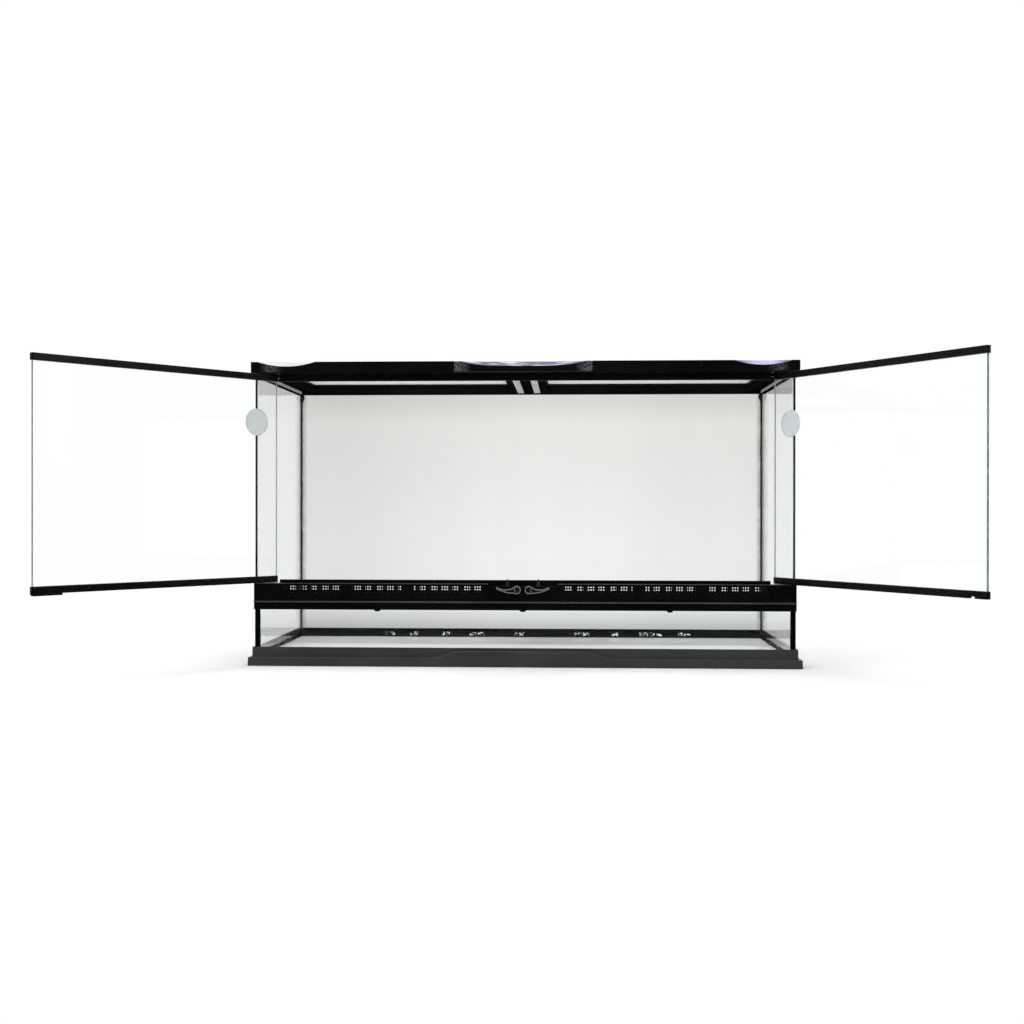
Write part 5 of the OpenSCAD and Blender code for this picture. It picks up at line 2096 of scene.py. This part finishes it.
@dataclass(frozen=True)
class StudioFloor(Finish):
    """Pale floor that keeps the object's shadow and fades to white away from it."""

    name: str = "studio_floor"
    colour: Colour = (0.93, 0.93, 0.93)
    half_w: float = 0.47
    half_d: float = 0.20
    fade: float = 0.32

    def _make(self) -> bpy.types.Material:
        """Matt beside the object, plain white further off, and dark in front of it for gloss.

        The fade runs with the distance from the cabinet's footprint, which is the length of
        what X and Y have beyond its half sizes.

        Returns:
            The material.
        """
        recipe = Recipe.start(self.name)
        graph = recipe.graph
        recipe.keep(Base_Color=(*self.colour, 1.0), Roughness=1.0, Specular_IOR_Level=0.0)
        axes = graph.add("ShaderNodeSeparateXYZ", Vector=recipe.place)
        beyond = [
            graph.maths("SUBTRACT", graph.maths("ABSOLUTE", axes.outputs[axis]), half, clamp=True)
            for axis, half in (("X", self.half_w), ("Y", self.half_d))
        ]
        flat = graph.add("ShaderNodeCombineXYZ", X=beyond[0], Y=beyond[1])
        length = graph.add("ShaderNodeVectorMath", {"operation": "LENGTH"})
        graph.feed(length, 0, flat.outputs[0])
        away = graph.span(length.outputs["Value"], 0.0, self.fade, 0.0, 1.0)
        path = graph.add("ShaderNodeLightPath")
        glossy = path.outputs["Is Glossy Ray"]
        looks = graph.maths("ADD", path.outputs["Is Camera Ray"], glossy)
        looks = graph.maths("ADD", looks, path.outputs["Is Transmission Ray"], clamp=True)
        white = graph.add("ShaderNodeEmission", Color=(1.0, 1.0, 1.0), Strength=1.0)
        dark = graph.add("ShaderNodeEmission", Color=(0.04, 0.04, 0.04), Strength=1.0)
        front = graph.span(axes.outputs["Y"], -0.34, -0.22, 1.0, 0.0)
        mirrored = graph.maths("SUBTRACT", glossy, path.outputs["Is Transmission Ray"], clamp=True)
        layers = recipe.shader.outputs[0]
        for share, layer in (
            (graph.maths("MULTIPLY", away, looks), white),
            (graph.maths("MULTIPLY", front, mirrored), dark),
        ):
            mix = graph.add("ShaderNodeMixShader")
            graph.feed(mix, 0, share)
            graph.feed(mix, 1, layers)
            graph.feed(mix, 2, layer.outputs[0])
            layers = mix.outputs[0]
        graph.feed(recipe.output, "Surface", layers)
        return recipe.material


@dataclass
class Studio:
    """Camera, floor, world and lamps."""

    place: tuple[float, float, float] = (79.43, -2344.81, 261.47)
    yaw: float = 2.58
    pitch: float = -0.11
    roll: float = -0.05
    focal: float = 1304.94
    image: float = 1024.0
    sensor: float = 36.0
    fill: float = 0.62
    dark: float = 0.03

    def build_camera(self) -> None:
        """Puts the camera where the photograph was taken from."""
        data = bpy.data.cameras.new("photo_camera")
        data.sensor_width = self.sensor
        data.lens = self.focal / self.image * self.sensor
        data.clip_start, data.clip_end = 0.05, 60.0
        camera = bpy.data.objects.new("photo_camera", data)
        camera.location = [v * MM for v in self.place]
        camera.rotation_euler = (
            math.radians(90 + self.pitch),
            math.radians(self.roll),
            math.radians(self.yaw),
        )
        bpy.context.scene.collection.objects.link(camera)
        bpy.context.scene.camera = camera

    def build_floor(self) -> None:
        """Lays the floor just under the base."""
        mesh = bpy.data.meshes.new("studio_floor")
        half, z = 14.0, -0.0003
        mesh.from_pydata(
            [(-half, -half, z), (half, -half, z), (half, half, z), (-half, half, z)],
            [],
            [(0, 1, 2, 3)],
        )
        mesh.materials.append(StudioFloor().material())
        floor = bpy.data.objects.new("studio_floor", mesh)
        bpy.context.scene.collection.objects.link(floor)

    def build_world(self) -> None:
        """White for what looks at it and for gloss, but dark low in front, where we stand."""
        world = bpy.data.worlds.new("studio")
        bpy.context.scene.world = world
        world.use_nodes = True
        graph = Graph(world.node_tree)
        path = graph.add("ShaderNodeLightPath")
        direct = graph.maths(
            "ADD", path.outputs["Is Camera Ray"], path.outputs["Is Transmission Ray"], clamp=True
        )
        way = graph.add("ShaderNodeTexCoord").outputs["Generated"]
        axes = graph.add("ShaderNodeSeparateXYZ", Vector=way)
        low = graph.span(axes.outputs["Z"], 0.12, 0.42, 1.0 - self.dark, 0.0)
        ahead = graph.span(axes.outputs["Y"], -0.35, 0.5, 1.0, 0.0)
        shown = graph.maths("MULTIPLY_ADD", graph.maths("MULTIPLY", low, ahead), -1.0, 1.0)
        glossy = path.outputs["Is Glossy Ray"]
        soft = graph.maths("MULTIPLY_ADD", glossy, graph.maths("SUBTRACT", shown, self.fill), self.fill)
        strength = graph.maths("MULTIPLY_ADD", direct, graph.maths("SUBTRACT", 1.0, soft), soft)
        back = graph.add("ShaderNodeBackground", Color=(1.0, 1.0, 1.0), Strength=strength)
        output = graph.add("ShaderNodeOutputWorld")
        graph.feed(output, "Surface", back.outputs[0])

    def lamp(self, name: str, size: tuple[float, float], power: float, place: Sequence[float]) -> None:
        """Adds a rectangular lamp that looks at the middle of the cabinet.

        Args:
            name: Name of the lamp.
            size: Width and height in metres.
            power: Power in watts.
            place: Where it stands, in metres.
        """
        data = bpy.data.lights.new(name, "AREA")
        data.shape = "RECTANGLE"
        data.size, data.size_y = size
        data.energy = power
        lamp = bpy.data.objects.new(name, data)
        lamp.location = place
        aim = Vector((0.0, 0.0, 0.25)) - lamp.location
        lamp.rotation_euler = aim.to_track_quat("-Z", "Y").to_euler()
        lamp.visible_camera = False
        bpy.context.scene.collection.objects.link(lamp)

    def build(self) -> None:
        """Builds the studio."""
        self.build_camera()
        self.build_floor()
        self.build_world()
        self.lamp("overhead", (2.2, 0.6), 27.0, (-0.15, 0.05, 2.0))
        self.lamp("left_strip", (0.5, 1.8), 9.0, (-2.4, -1.4, 1.2))
        self.lamp("right_strip", (0.5, 1.8), 9.0, (2.4, -1.2, 1.3))
        bpy.context.scene.view_settings.view_transform = "Standard"


def main() -> None:
    """Loads the frame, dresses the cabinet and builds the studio."""
    logging.basicConfig(level=logging.INFO, format="%(message)s")
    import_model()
    BaseFrame().build()
    glass = GlassBox()
    glass.build_panes()
    glass.build_seams()
    VentStrip().build()
    TopFrame().build()
    Door(Side.LEFT, 129.7, pad_in=42.5, pad_z=406.5).build()
    Door(Side.RIGHT, 122.0).build()
    for side in Side:
        Latch(side).build()
        ScreenLid(side).build()
    Studio().build()


if __name__ == "__main__":
    main()
